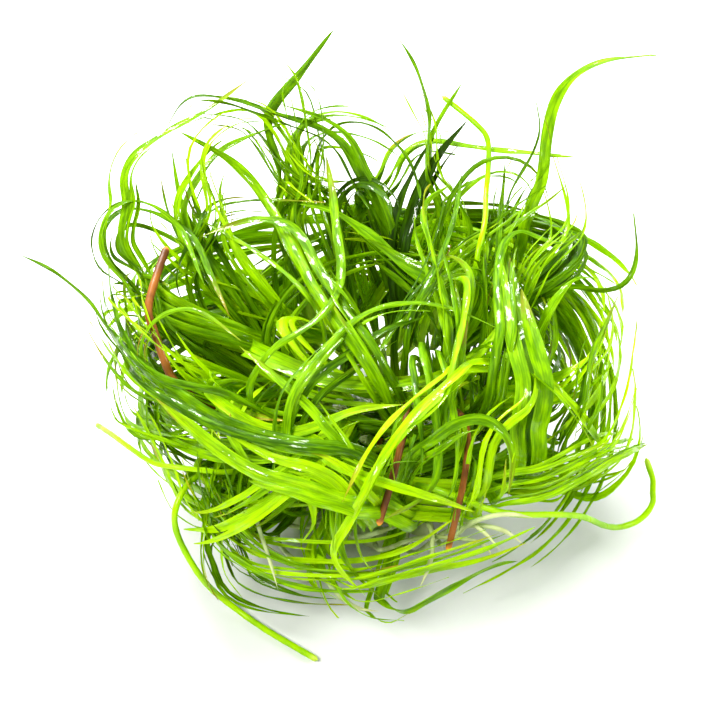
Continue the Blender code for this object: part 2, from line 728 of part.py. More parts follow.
def grown_stalk(stalk, free):
    """A runner or stalk from its crown to its end."""
    seen = seen_route(stalk.seen_px, stalk.depth)
    heading = seen[1] - seen[0]
    key, centre, way = take_slot(free, seen[0], heading)
    start = centre + unit(way) * (GAP + stalk.width * MM * 0.6)
    route = np.vstack((hidden_rise(start, way, seen[0], heading), seen))
    strand = Strand(stalk.name, eased(smooth_curve(route)), stalk.colour, True)
    strand.shape_stalk(stalk.width * MM)
    strand.slot = key
    return strand


class Clearance:
    """All strands as rows of small spheres, which are moved apart until no two strands touch."""

    def __init__(self, strands):
        """Joins the strands' stations into one row and lays their spheres."""
        self.strands = strands
        counts = [len(s.stations) for s in strands]
        self.starts = np.concatenate(([0], np.cumsum(counts)))
        self.places = np.vstack([s.stations for s in strands])
        self.reach = np.vstack([s.sides * s.half[:, None] for s in strands])
        self.owner = np.repeat(np.arange(len(strands)), counts)
        self.fixed = np.zeros(len(self.places), bool)
        self.fixed[self.starts[:-1]] = True
        here = np.arange(len(self.places))
        self.back = np.where(np.isin(here, self.starts[:-1]), here, here - 1)
        self.ahead = np.where(np.isin(here, self.starts[1:] - 1), here, here + 1)
        self.bend = self.curl()
        self.sample()

    def curl(self):
        """How far each station lies from the middle of its neighbours."""
        return self.places - (self.places[self.back] + self.places[self.ahead]) / 2

    def sample(self):
        """Lays the spheres: which stretch each is on, where on it, and how large it is."""
        station, share, across, radius, along = [], [], [], [], []
        for number, strand in enumerate(self.strands):
            lengths = strand.lengths()
            for k in range(len(lengths) - 1):
                steps = max(2, math.ceil((lengths[k + 1] - lengths[k]) / SAMPLE_LENGTH))
                half = max(strand.half[k], strand.half[k + 1])
                inner = max(0.0, half - 0.6 * SPHERE)
                rows = 1 if strand.round_stem else 1 + 2 * math.ceil(inner / SAMPLE_WIDTH)
                swell = SHEATH_SWELL if strand.fused and k == 0 else 0
                for row in np.linspace(-inner / half, inner / half, rows) if rows > 1 else (0.0,):
                    for step in range(steps):
                        station.append(self.starts[number] + k)
                        share.append((step + 0.5) / steps)
                        across.append(row)
                        size = half + 0.6 * SPHERE if strand.round_stem else SPHERE
                        radius.append(size + swell * (1 - share[-1]))
                        along.append(lengths[k] + (lengths[k + 1] - lengths[k]) * share[-1])
        self.station = np.array(station)
        self.share = np.array(share)[:, None]
        self.across = np.array(across)[:, None]
        self.radius = np.array(radius)
        self.along = np.array(along)
        self.strand = self.owner[self.station]
        homes = np.array([-1 if s.home is None else s.home for s in self.strands])
        self.home = homes[self.strand]

    def spheres(self):
        """Where the spheres are now."""
        near, far = self.station, self.station + 1
        middle = (1 - self.share) * self.places[near] + self.share * self.places[far]
        reach = (1 - self.share) * self.reach[near] + self.share * self.reach[far]
        return middle + self.across * reach

    def close_pairs(self, points, within):
        """Pairs of spheres this near each other, those that may touch left out."""
        cells = np.floor(points / within).astype(np.int64)
        cells -= cells.min(axis=0) - 1
        size = cells.max(axis=0) + 2
        key = (cells[:, 0] * size[1] + cells[:, 1]) * size[2] + cells[:, 2]
        order = np.argsort(key, kind="stable")
        ranked = key[order]
        found = []
        for shift in itertools.product((0, 1), (-1, 0, 1), (-1, 0, 1)):
            if shift < (0, 0, 0):
                continue
            wanted = key + (shift[0] * size[1] + shift[1]) * size[2] + shift[2]
            begin = np.searchsorted(ranked, wanted, "left")
            count = np.searchsorted(ranked, wanted, "right") - begin
            first = np.repeat(np.arange(len(points)), count)
            place = np.arange(count.sum()) - np.repeat(np.cumsum(count) - count, count)
            second = order[np.repeat(begin, count) + place]
            keep = first < second if shift == (0, 0, 0) else np.ones(len(first), bool)
            found.append(np.column_stack((first[keep], second[keep])))
        return np.vstack(found)

    def allowed(self, first, second):
        """Which pairs of spheres must keep apart: not near ones of a strand, nor at a shared crown."""
        same = self.strand[first] == self.strand[second]
        near = np.abs(self.along[first] - self.along[second]) < SELF_REACH
        at_home = (self.home[first] == self.home[second]) & (self.home[first] >= 0)
        at_home &= (self.along[first] < SHEATH) & (self.along[second] < SHEATH)
        return ~(same & near) & ~at_home

    def separate(self, crowns, rounds=RELAX_ROUNDS):
        """Pushes the strands apart along the way out of the nest, off the crowns and the mat."""
        for turn in range(rounds):
            points = self.spheres()
            if turn % 4 == 0:
                widest = 2 * self.radius.max() + PAIR_MARGIN
                pairs = self.close_pairs(points, widest)
                pairs = pairs[self.allowed(pairs[:, 0], pairs[:, 1])]
                apart = np.linalg.norm(points[pairs[:, 0]] - points[pairs[:, 1]], axis=1)
                need = self.radius[pairs[:, 0]] + self.radius[pairs[:, 1]]
                pairs = pairs[apart < need + PAIR_MARGIN]
            first, second = pairs[:, 0], pairs[:, 1]
            between = points[first] - points[second]
            need = self.radius[first] + self.radius[second]
            apart = np.linalg.norm(between, axis=1)
            touching = apart < need
            first, second, between = first[touching], second[touching], between[touching]
            need, apart = need[touching], apart[touching]
            out = outward((points[first] + points[second]) / 2)
            rise = (between * out).sum(axis=1)
            order = self.contact_order(first, second, rise)
            way = unit(between + (order * need * OUTWARD_BIAS)[:, None] * out)
            push = np.minimum((need - apart) * 0.6, MOST_PUSH)[:, None] * way
            moves = np.zeros_like(points)
            hits = np.zeros(len(points))
            np.add.at(moves, first, push)
            np.add.at(moves, second, -push)
            np.add.at(hits, first, 1)
            np.add.at(hits, second, 1)
            self.clear_crowns(points, moves, hits, crowns)
            moves /= np.maximum(hits, 1)[:, None]
            self.move_stations(moves, hits > 0)
            self.keep_above()
        return len(first)

    def contact_order(self, first, second, rise):
        """1 where the first sphere's strand passes outside the second's, by the whole crossing."""
        stretch = (self.along[first] / CROSSING_LENGTH).astype(np.int64)
        key = (self.strand[first] * len(self.strands) + self.strand[second]) * 64 + stretch
        _, group = np.unique(key, return_inverse=True)
        total = np.bincount(group, weights=rise)
        return np.where(total >= 0, 1.0, -1.0)[group]

    def clear_crowns(self, points, moves, hits, crowns):
        """Adds the moves that take spheres off the crowns, their own crown's sheath left out."""
        for number, crown in enumerate(crowns):
            top = (crown.height + 4.5) * MM
            beside = points[:, :2] - np.array((crown.x, crown.y)) * MM
            above = np.maximum(points[:, 2] - top, 0)
            offset = np.column_stack((beside, above))
            apart = np.linalg.norm(offset, axis=1)
            need = CROWN_RADIUS + self.radius + GAP
            hit = (apart < need) & ~((self.home == number) & (self.along < 2 * SHEATH))
            way = unit(offset[hit] + 1e-6)
            moves[hit] += way * np.minimum(need[hit] - apart[hit], MOST_PUSH)[:, None]
            hits[hit] += 1

    def move_stations(self, moves, touched):
        """Shares the spheres' moves among the stations, keeps the curves smooth and anchored."""
        near, share = self.station[touched], self.share[touched]
        moved = np.zeros_like(self.places)
        weight = np.zeros(len(self.places))
        np.add.at(moved, near, (1 - share) * moves[touched])
        np.add.at(moved, near + 1, share * moves[touched])
        np.add.at(weight, near, 1 - share[:, 0])
        np.add.at(weight, near + 1, share[:, 0])
        moved /= np.maximum(weight, 0.3)[:, None]
        moved = 0.7 * moved + 0.15 * (moved[self.back] + moved[self.ahead])
        bent = self.bend - self.curl()
        moved += STIFFNESS * bent
        moved[self.fixed] = 0
        self.places += moved

    def keep_above(self):
        """Lifts what is below the floor's clearance or in the root mat."""
        beside = np.hypot(self.places[:, 0] - MAT_CENTRE[0], self.places[:, 1] - MAT_CENTRE[1])
        low = np.where(beside < MAT_RADIUS * 1.2, MAT_THICKNESS + 2.2 * SPHERE, FLOOR_CLEARANCE)
        low = np.where(self.fixed, 0, low)
        self.places[:, 2] = np.maximum(self.places[:, 2], low)

    def finish(self):
        """Gives each strand its settled stations."""
        for number, strand in enumerate(self.strands):
            strand.stations = self.places[self.starts[number] : self.starts[number + 1]]


def ring_of(strand, k):
    """A strand's corners at a station, turning one way: two edges and a keel, or a stalk's four."""
    side = strand.sides[k]
    normal = unit(np.cross(headings_of(strand.stations)[k], side))
    centre = strand.stations[k]
    half, thick = strand.half[k], strand.thick[k]
    if strand.round_stem:
        return [centre + side * half, centre + normal * half, centre - side * half, centre - normal * half]
    keel = centre + normal * strand.keel * thick * KEEL_SHARE
    centre = centre - normal * strand.keel * thick * (1 - KEEL_SHARE)
    edges = [centre + side * half, centre - side * half]
    return [edges[0], keel, edges[1]] if strand.keel > 0 else [edges[0], edges[1], keel]


def strand_shell(strand, first_ring):
    """Points and faces of a strand from its first ring's corners out to its tip."""
    points = list(first_ring)
    last = list(range(len(points)))
    faces = []
    for k in range(1, len(strand.stations) - 1):
        ring = ring_of(strand, k)
        here = list(range(len(points), len(points) + len(ring)))
        points += ring
        for i in range(len(here)):
            j = (i + 1) % len(here)
            faces.append((last[i], last[i + 1 if i + 1 < len(last) else 0], here[j], here[i]))
        if len(last) > len(here):
            faces.append((last[-1], last[0], here[0]))
        last = here
    points.append(strand.stations[-1])
    faces += [(last[i], last[(i + 1) % len(last)], len(points) - 1) for i in range(len(last))]
    return points, faces


def add_object(name, points, faces, colour):
    """A mesh object from points and faces, with its material."""
    mesh = bpy.data.meshes.new(name)
    mesh.from_pydata([tuple(map(float, p)) for p in points], [], faces)
    mesh.update()
    mesh.materials.append(material_of(colour))
    built = bpy.data.objects.new(name, mesh)
    bpy.context.scene.collection.objects.link(built)
    return built


def material_of(colour):
    """The Principled material of a colour, made once."""
    found = bpy.data.materials.get(colour.name)
    if found:
        return found
    made = bpy.data.materials.new(colour.name)
    made.use_nodes = True
    shader = made.node_tree.nodes["Principled BSDF"]
    shader.inputs["Base Color"].default_value = (*colour.rgb, 1)
    shader.inputs["Roughness"].default_value = colour.roughness
    return made


def build_strand(strand):
    """A leaf or stalk as a piece of its own, closed at its base."""
    ring = ring_of(strand, 0)
    points, faces = strand_shell(strand, ring)
    faces.append(tuple(reversed(range(len(ring)))))
    return add_object(strand.name, points, faces, strand.colour)


def joined_ring(corners, strand):
    """A facet's corners in the order that twists least into the strand's next ring."""
    onward = ring_of(strand, 1)
    turns = [corners[i:] + corners[:i] for i in range(4)]
    return min(turns, key=lambda t: sum(np.linalg.norm(p[1] - q) for p, q in zip(t, onward)))


def build_crown(crown, strands):
    """A crown on its stem, with the leaves that are one piece with it."""
    base = np.array((crown.x, crown.y, 0.0)) * MM
    middle = crown.height * MM
    profile = (
        (MAT_THICKNESS + GAP, CROWN_NECK * 1.1),
        (max(middle - TIER_HEIGHT - CROWN_POINT, MAT_THICKNESS + 2 * GAP), CROWN_NECK),
        (middle - TIER_HEIGHT, CROWN_RADIUS),
        (middle, CROWN_RADIUS),
        (middle + TIER_HEIGHT, CROWN_TOP),
    )
    points, rings = [], []
    for height, radius in profile:
        rings.append(range(len(points), len(points) + CROWN_SIDES))
        for side in range(CROWN_SIDES):
            angle = side * math.tau / CROWN_SIDES
            points.append(base + np.array((radius * math.cos(angle), radius * math.sin(angle), height)))
    points.append(base + np.array((0, 0, middle + TIER_HEIGHT + CROWN_POINT)))
    apex = len(points) - 1
    taken = {(s.slot[1], s.slot[2]): s for s in strands}
    faces = [tuple(reversed(rings[0]))]
    for level in range(len(rings) - 1):
        for side in range(CROWN_SIDES):
            after = (side + 1) % CROWN_SIDES
            low, high = rings[level], rings[level + 1]
            corners = [low[side], low[after], high[after], high[side]]
            grown = taken.get((side, level - 2)) if level >= 2 else None
            if grown is None:
                faces.append(tuple(corners))
                continue
            ordered = joined_ring([(index, points[index]) for index in corners], grown)
            more, skin = strand_shell(grown, [place for _, place in ordered])
            renamed = [index for index, _ in ordered] + list(range(len(points), len(points) + len(more) - 4))
            points += more[4:]
            faces += [tuple(renamed[i] for i in face) for face in skin]
    faces += [(rings[-1][side], rings[-1][(side + 1) % CROWN_SIDES], apex) for side in range(CROWN_SIDES)]
    return add_object(crown.name, points, faces, CROWN_GREEN)


def mat_radius(angle):
    """How far the root mat's uneven rim is from its middle."""
    waves = sum(size * math.sin(count * angle + start) for count, size, start in MAT_WAVES)
    return MAT_RADIUS * (1 + waves)


def build_mat(roots):
    """The flat-bottomed root mat with the roots that stick out of its rim."""
    levels = ((0.0, 0.94), (MAT_THICKNESS * 0.25, 1.0), (MAT_THICKNESS * 0.75, 1.0), (MAT_THICKNESS, 0.9))
    points, rings = [], []
    for height, share in levels:
        rings.append(range(len(points), len(points) + MAT_SIDES))
        for side in range(MAT_SIDES):
            angle = side * math.tau / MAT_SIDES
            reach = mat_radius(angle) * share
            points.append(
                np.array(
                    (MAT_CENTRE[0] + reach * math.cos(angle), MAT_CENTRE[1] + reach * math.sin(angle), height)
                )
            )
    grown_from = {root.slot: root for root in roots}
    faces = [tuple(reversed(rings[0])), tuple(rings[-1])]
    for level in range(len(rings) - 1):
        for side in range(MAT_SIDES):
            after = (side + 1) % MAT_SIDES
            low, high = rings[level], rings[level + 1]
            corners = [low[side], low[after], high[after], high[side]]
            root = grown_from.get(side) if level == 1 else None
            if root is None:
                faces.append(tuple(corners))
                continue
            ordered = joined_ring([(index, points[index]) for index in corners], root)
            more, skin = strand_shell(root, [place for _, place in ordered])
            renamed = [index for index, _ in ordered] + list(range(len(points), len(points) + len(more) - 4))
            points += more[4:]
            faces += [tuple(renamed[i] for i in face) for face in skin]
    return add_object("root_mat", points, faces, ROOT_WHITE)


def grown_root(stalk, taken):
    """A root from a free side of the mat's rim to where its white tip is seen."""
    seen = seen_route(stalk.seen_px, stalk.depth)
    towards = math.atan2(seen[0][1] - MAT_CENTRE[1], seen[0][0] - MAT_CENTRE[0])
    sides = [side for side in range(MAT_SIDES) if side not in taken]
    middle = {side: (side + 0.5) * math.tau / MAT_SIDES for side in sides}
    side = min(sides, key=lambda s: abs(math.remainder(middle[s] - towards, math.tau)))
    angle = middle[side]
    way = np.array((math.cos(angle), math.sin(angle), 0.0))
    start = np.array((*MAT_CENTRE, MAT_THICKNESS * 0.5)) + way * mat_radius(angle)
    route = np.vstack((hidden_rise(start, way, seen[0], seen[1] - seen[0]), seen))
    strand = Strand(stalk.name, eased(smooth_curve(route)), ROOT_WHITE, True)
    collar = start + way * ROOT_COLLAR
    strand.stations = np.vstack((strand.stations[:1], collar, strand.stations[1:]))
    strand.shape_stalk(stalk.width * MM)
    strand.slot = side
    return strand


def clear_scene():
    """Empties the scene."""
    for thing in list(bpy.data.objects):
        bpy.data.objects.remove(thing)


def main():
    """Grows every strand, moves them apart and builds the pieces."""
    clear_scene()
    rng = random.Random(SEED)
    free = [slot for crown in CROWNS for slot in slot_places(crown)]
    numbers = {crown.name: number for number, crown in enumerate(CROWNS)}
    stalks = [grown_stalk(stalk, free) for stalk in STALKS]
    long_leaves = [grown_leaf(leaf, free, rng) for leaf in LONG_LEAVES]
    short_leaves = [grown_leaf(leaf, free, rng) for leaf in SHORT_LEAVES]
    for circle in CIRCLES:
        short_leaves += [circling_leaf(circle, index, free, rng) for index in range(circle.count)]
    stalks += [grown_stalk(stub, free) for stub in STUBS]
    for strand in long_leaves + short_leaves + stalks:
        strand.home = numbers[strand.slot[0]]
    for strand in short_leaves:
        strand.fused = True
    roots = []
    for root in ROOTS:
        roots.append(grown_root(root, [r.slot for r in roots]))
    strands = long_leaves + short_leaves + stalks + roots
    clearance = Clearance(strands)
    clearance.separate(CROWNS)
    clearance.finish()
    build_mat(roots)
    for crown in CROWNS:
        build_crown(crown, [s for s in short_leaves if s.slot[0] == crown.name])
    for strand in long_leaves + stalks:
        build_strand(strand)


if __name__ == "__main__":
    main()
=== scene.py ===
"""Looks of a dwarf sagittaria plug: a loose nest of wet green strap leaves on a bright studio floor.

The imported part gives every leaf, stalk and root as a coarse strip of rings. This script reads those
rings back into centre lines, grows fine channelled leaves along them with Geometry Nodes, adds thinner
leaves beside them, and lights and frames the nest as in the photograph. All lengths are in metres.
"""

from __future__ import annotations

import json
import logging
import math
from dataclasses import astuple, dataclass
from enum import Enum
from functools import reduce

import bmesh
import bpy
import numpy as np
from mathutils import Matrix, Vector


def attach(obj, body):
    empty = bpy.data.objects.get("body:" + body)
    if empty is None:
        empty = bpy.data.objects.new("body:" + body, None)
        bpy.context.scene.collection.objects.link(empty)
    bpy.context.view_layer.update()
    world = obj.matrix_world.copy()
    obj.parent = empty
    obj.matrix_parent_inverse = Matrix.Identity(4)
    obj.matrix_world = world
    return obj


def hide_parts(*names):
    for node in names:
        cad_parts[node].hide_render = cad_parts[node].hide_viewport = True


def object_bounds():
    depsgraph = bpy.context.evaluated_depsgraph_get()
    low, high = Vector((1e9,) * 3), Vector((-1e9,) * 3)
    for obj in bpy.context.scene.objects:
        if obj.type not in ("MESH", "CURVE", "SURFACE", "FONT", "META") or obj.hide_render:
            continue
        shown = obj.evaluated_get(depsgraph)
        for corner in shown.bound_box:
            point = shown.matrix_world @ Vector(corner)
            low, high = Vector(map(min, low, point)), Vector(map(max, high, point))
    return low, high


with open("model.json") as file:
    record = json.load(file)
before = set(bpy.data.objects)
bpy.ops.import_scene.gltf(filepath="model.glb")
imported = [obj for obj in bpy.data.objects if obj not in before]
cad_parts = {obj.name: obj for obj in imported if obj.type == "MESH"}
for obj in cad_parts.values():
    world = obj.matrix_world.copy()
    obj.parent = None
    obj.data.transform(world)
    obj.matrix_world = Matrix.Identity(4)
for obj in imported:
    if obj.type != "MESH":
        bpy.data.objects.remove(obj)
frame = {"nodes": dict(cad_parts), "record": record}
SIZE_AT_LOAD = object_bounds()

MM = 0.001
WELD = 2e-6
SEED = 20
CROWN_DRAWS = 100
SHEATH_DRAWS = 300
MAT_DRAWS = 500
BOX_MARGIN = 0.02 * MM

log = logging.getLogger("sagittaria")

Pair = tuple[float, float]
Triple = tuple[float, float, float]
Socket = bpy.types.NodeSocket


class Form(Enum):
    """What a strand's coarse rings look like: how many corners each one has."""

    LEAF = 3
    STEM = 4


class Grain(Enum):
    """The kind of surface that a stem's material draws."""

    STEM = "stem"
    ROOT = "root"


@dataclass(frozen=True)
class LeafFinish:
    """Colours and gloss of a leaf surface; colours are linear RGB.

    Args:
        name: the material's name.
        ramp: colours by tone, from the freshest to the darkest leaf.
        tip: colour that a worn tip fades to.
        base: pale colour near the crown.
        through: share of the light that passes through the blade.
        roughness: mean roughness of the dry surface.
        coat: strength of the water film where it lies.
    """

    name: str
    ramp: tuple[Triple, ...]
    tip: Triple
    base: Triple
    through: float
    roughness: float
    coat: float


@dataclass(frozen=True)
class BladeGrain:
    """How a blade's surface is drawn. A pace is across the blade, and along it for each metre.

    Args:
        noise: noise values that a change runs between.
        mottle: pace of the mottling.
        mottle_depth: how far it shifts the tone.
        veins: pace of the veins across the blade, as an angle.
        vein_depth: how much a vein darkens the blade.
        vein_relief: its height as a share of the midrib's depth.
        rib: half the midrib's width, as a share of the blade's.
        rib_depth: how much it darkens the blade.
        base_reach: share of the length that the pale base reaches.
        base_share: how pale it gets.
        worn_from: share of the length where a worn tip starts.
        ragged: how far the mottling moves that place.
        relief: height of veins and midrib.
        film: pace of the water film's patches.
        film_edge: noise values between which a patch begins.
        film_ripple: pace of its ripples.
        ripple_relief: their height.
        speckle: scale of the speckles in the roughness.
        speckle_noise: noise values that they run between.
        spread: how far the roughness varies, down and up.
        glow_share: how much of the glow's own colour the light takes that passes through.
        glow: that colour.
    """

    noise: Pair = (0.3, 0.7)
    mottle: Pair = (4.0, 0.22 / MM)
    mottle_depth: float = 0.22
    veins: float = 44.0
    vein_depth: float = 0.08
    vein_relief: float = 0.35
    rib: float = 0.09
    rib_depth: float = 0.16
    base_reach: float = 0.16
    base_share: float = 0.75
    worn_from: float = 0.86
    ragged: float = 0.05
    relief: float = 0.12 * MM
    film: Pair = (1.6, 0.30 / MM)
    film_edge: Pair = (0.52, 0.58)
    film_ripple: Pair = (3.0, 1.1 / MM)
    ripple_relief: float = 0.15 * MM
    speckle: float = 420.0
    speckle_noise: Pair = (0.35, 0.65)
    spread: Pair = (0.08, 0.12)
    glow_share: float = 0.35
    glow: Triple = (0.80, 1.0, 0.0)


@dataclass(frozen=True)
class StemGrain:
    """How a stem's surface is drawn.

    Args:
        fine: scale of the fine streaks.
        stretch: how much each axis of them is stretched.
        broad: scale of the broad patches.
        broad_share: how much they count beside the streaks.
        edge: noise values between which a streak begins.
        cut: shares of the length where a cut end's colour begins and is full.
        tip_from: share of the length where a root's tip colour begins.
        tip_share: how much of it the tip takes.
        relief: height of the streaks.
        noise: noise values that the roughness runs between.
        spread: how far it varies, down and up.
    """

    fine: float = 300.0
    stretch: Triple = (1, 1, 0.4)
    broad: float = 70.0
    broad_share: float = 0.6
    edge: Pair = (0.4, 0.62)
    cut: Pair = (0.975, 0.995)
    tip_from: float = 0.8
    tip_share: float = 0.6
    relief: float = 0.1 * MM
    noise: Pair = (0.35, 0.65)
    spread: Pair = (0.08, 0.1)


@dataclass(frozen=True)
class StemFinish:
    """Colours and gloss of a stalk, runner, crown or root; colours are linear RGB.

    Args:
        name: the material's name.
        skin: the main colour.
        streak: the colour of its streaks.
        cut: colour of the cut or growing end.
        through: share of the light that passes through.
        roughness: mean roughness.
        grain: how the surface is drawn.
    """

    name: str
    skin: Triple
    streak: Triple
    cut: Triple
    through: float
    roughness: float
    grain: Grain


BRIGHT_LEAF = LeafFinish(
    "leaf_bright",
    ((0.52, 0.84, 0.0), (0.33, 0.64, 0.0), (0.15, 0.37, 0.0), (0.04, 0.13, 0.0)),
    (0.50, 0.30, 0.03),
    (0.50, 0.70, 0.06),
    0.40,
    0.42,
    0.9,
)
# A darker copy of the leaf material: partly the darker green of some leaves, partly painted shade for the
# inner leaves of the nest.
DARK_AND_SHADED_LEAF = LeafFinish(
    "leaf_dark",
    ((0.16, 0.36, 0.0), (0.08, 0.21, 0.0), (0.033, 0.10, 0.0), (0.012, 0.04, 0.0)),
    (0.22, 0.14, 0.02),
    (0.22, 0.40, 0.03),
    0.26,
    0.38,
    1.0,
)
RUNNER_STEM = StemFinish(
    "runner_green", (0.48, 0.80, 0.0), (0.28, 0.58, 0.0), (0.60, 0.78, 0.06), 0.35, 0.32, Grain.STEM
)
BROWN_STEM = StemFinish(
    "stalk_brown", (0.36, 0.12, 0.012), (0.11, 0.035, 0.004), (0.85, 0.30, 0.03), 0.15, 0.5, Grain.STEM
)
PALE_CROWN = StemFinish(
    "crown_pale", (0.30, 0.50, 0.03), (0.12, 0.26, 0.01), (0.40, 0.55, 0.05), 0.25, 0.4, Grain.STEM
)
PALE_ROOT = StemFinish(
    "root_pale", (0.62, 0.72, 0.34), (0.34, 0.42, 0.13), (0.75, 0.72, 0.40), 0.35, 0.45, Grain.ROOT
)


@dataclass(frozen=True)
class Section:
    """The cross section that a strand is swept with.

    Args:
        rim: points round the section.
        thickness: height as a share of its width.
        channel: how deep the blade is folded, as a share of its half width.
        wave: height of the ripple along a blade's edges.
        wave_length: length of one ripple.
        crisp: 1 for a section with sharp margins, 0 for a round one.
    """

    rim: int
    thickness: float
    channel: float
    wave: float
    wave_length: float
    crisp: float


BLADE_SECTION = Section(12, 0.10, 0.36, 0.14 * MM, 11 * MM, 1.0)
SMALL_BLADE_SECTION = Section(8, 0.11, 0.30, 0.10 * MM, 9 * MM, 1.0)
STEM_SECTION = Section(12, 1.0, 0.0, 0.0, 10 * MM, 0.0)
ROOT_SECTION = Section(6, 1.0, 0.0, 0.0, 10 * MM, 0.0)

LEAST_POINTS = 8
LEAST_KNOT = 1e-4
CURVE_STEPS = 14
CURVE_ROUNDS = 10
SIDE_ROUNDS = 3


def unit(vectors: np.ndarray) -> np.ndarray:
    """The same directions with length one, for one vector or rows of them."""
    length = np.linalg.norm(vectors, axis=-1, keepdims=True)
    return vectors / np.maximum(length, 1e-12)


def distances(points: np.ndarray) -> np.ndarray:
    """How far along a line of points each one lies."""
    return np.concatenate(([0], np.cumsum(np.linalg.norm(np.diff(points, axis=0), axis=1))))


def between(wanted: np.ndarray, places: np.ndarray, rows: np.ndarray) -> np.ndarray:
    """The rows at the wanted places, drawn straight between the given ones."""
    return np.column_stack([np.interp(wanted, places, column) for column in rows.T])


def soften(rows: np.ndarray, rounds: int) -> None:
    """Smooths rows in place, all but the first and last."""
    for _ in range(rounds):
        rows[1:-1] = 0.25 * rows[:-2] + 0.5 * rows[1:-1] + 0.25 * rows[2:]


def placed(name: str, data: bpy.types.ID) -> bpy.types.Object:
    """Makes an object and links it to the scene."""
    made = bpy.data.objects.new(name, data)
    bpy.context.scene.collection.objects.link(made)
    return made


@dataclass
class Strand:
    """A leaf, stalk or root read back from the part, from its base to its tip.

    Args:
        centres: points of its centre line.
        sides: the way across it at each point.
        ups: the way its channel opens at each point.
        halves: half its width at each point.
        form: leaf or stem.
    """

    centres: np.ndarray
    sides: np.ndarray
    ups: np.ndarray
    halves: np.ndarray
    form: Form

    def run(self) -> np.ndarray:
        """How far along the centre line each point lies."""
        return distances(self.centres)

    def fine(self, step: float) -> "Strand":
        """A smooth copy with evenly spaced points.

        Args:
            step: the spacing wanted between points.

        Returns:
            The smooth strand.
        """
        curve, knots = rounded_curve(self.centres)
        travelled = distances(curve)
        count = max(LEAST_POINTS, math.ceil(travelled[-1] / step) + 1)
        wanted = np.linspace(0, travelled[-1], count)
        centres = between(wanted, travelled, curve)
        place = np.interp(wanted, travelled, knots)
        stations = np.arange(len(self.centres))
        headings = unit(np.gradient(centres, axis=0))
        sides, ups = between(place, stations, self.sides), between(place, stations, self.ups)
        soften(sides, SIDE_ROUNDS)
        sides = unit(sides - headings * (sides * headings).sum(axis=1, keepdims=True))
        square = unit(np.cross(headings, sides))
        square *= np.where((square * ups).sum(axis=1).mean() < 0, -1.0, 1.0)
        return Strand(centres, sides, square, np.interp(place, stations, self.halves), self.form)


def mixed(place: np.ndarray, low: float, high: float, first: np.ndarray, second: np.ndarray) -> np.ndarray:
    """The points between two others at the given places between two knots."""
    return (high - place) / (high - low) * first + (place - low) / (high - low) * second


def rounded_curve(points: np.ndarray) -> tuple[np.ndarray, np.ndarray]:
    """Draws a smooth curve near the given points, with its ends on the first and last one.

    Args:
        points: the points to follow.

    Returns:
        The curve's points, and for each one its place among the given points.
    """
    ends = np.vstack((2 * points[0] - points[1], points, 2 * points[-1] - points[-2]))
    paces = np.maximum(np.sqrt(np.linalg.norm(np.diff(ends, axis=0), axis=1)), LEAST_KNOT)
    knots = np.concatenate(([0], np.cumsum(paces)))
    curve = []
    for i in range(1, len(ends) - 2):
        knot, point = knots[i - 1 : i + 3], ends[i - 1 : i + 3]
        place = np.linspace(knot[1], knot[2], CURVE_STEPS, endpoint=False)[:, None]
        outer = [mixed(place, knot[j], knot[j + 1], point[j], point[j + 1]) for j in range(3)]
        inner = [mixed(place, knot[j], knot[j + 2], outer[j], outer[j + 1]) for j in range(2)]
        curve.append(mixed(place, knot[1], knot[2], *inner))
    drawn = np.vstack(curve + [ends[-2:-1]])
    places = np.arange(len(drawn)) / CURVE_STEPS
    soften(drawn, CURVE_ROUNDS)
    return drawn, places


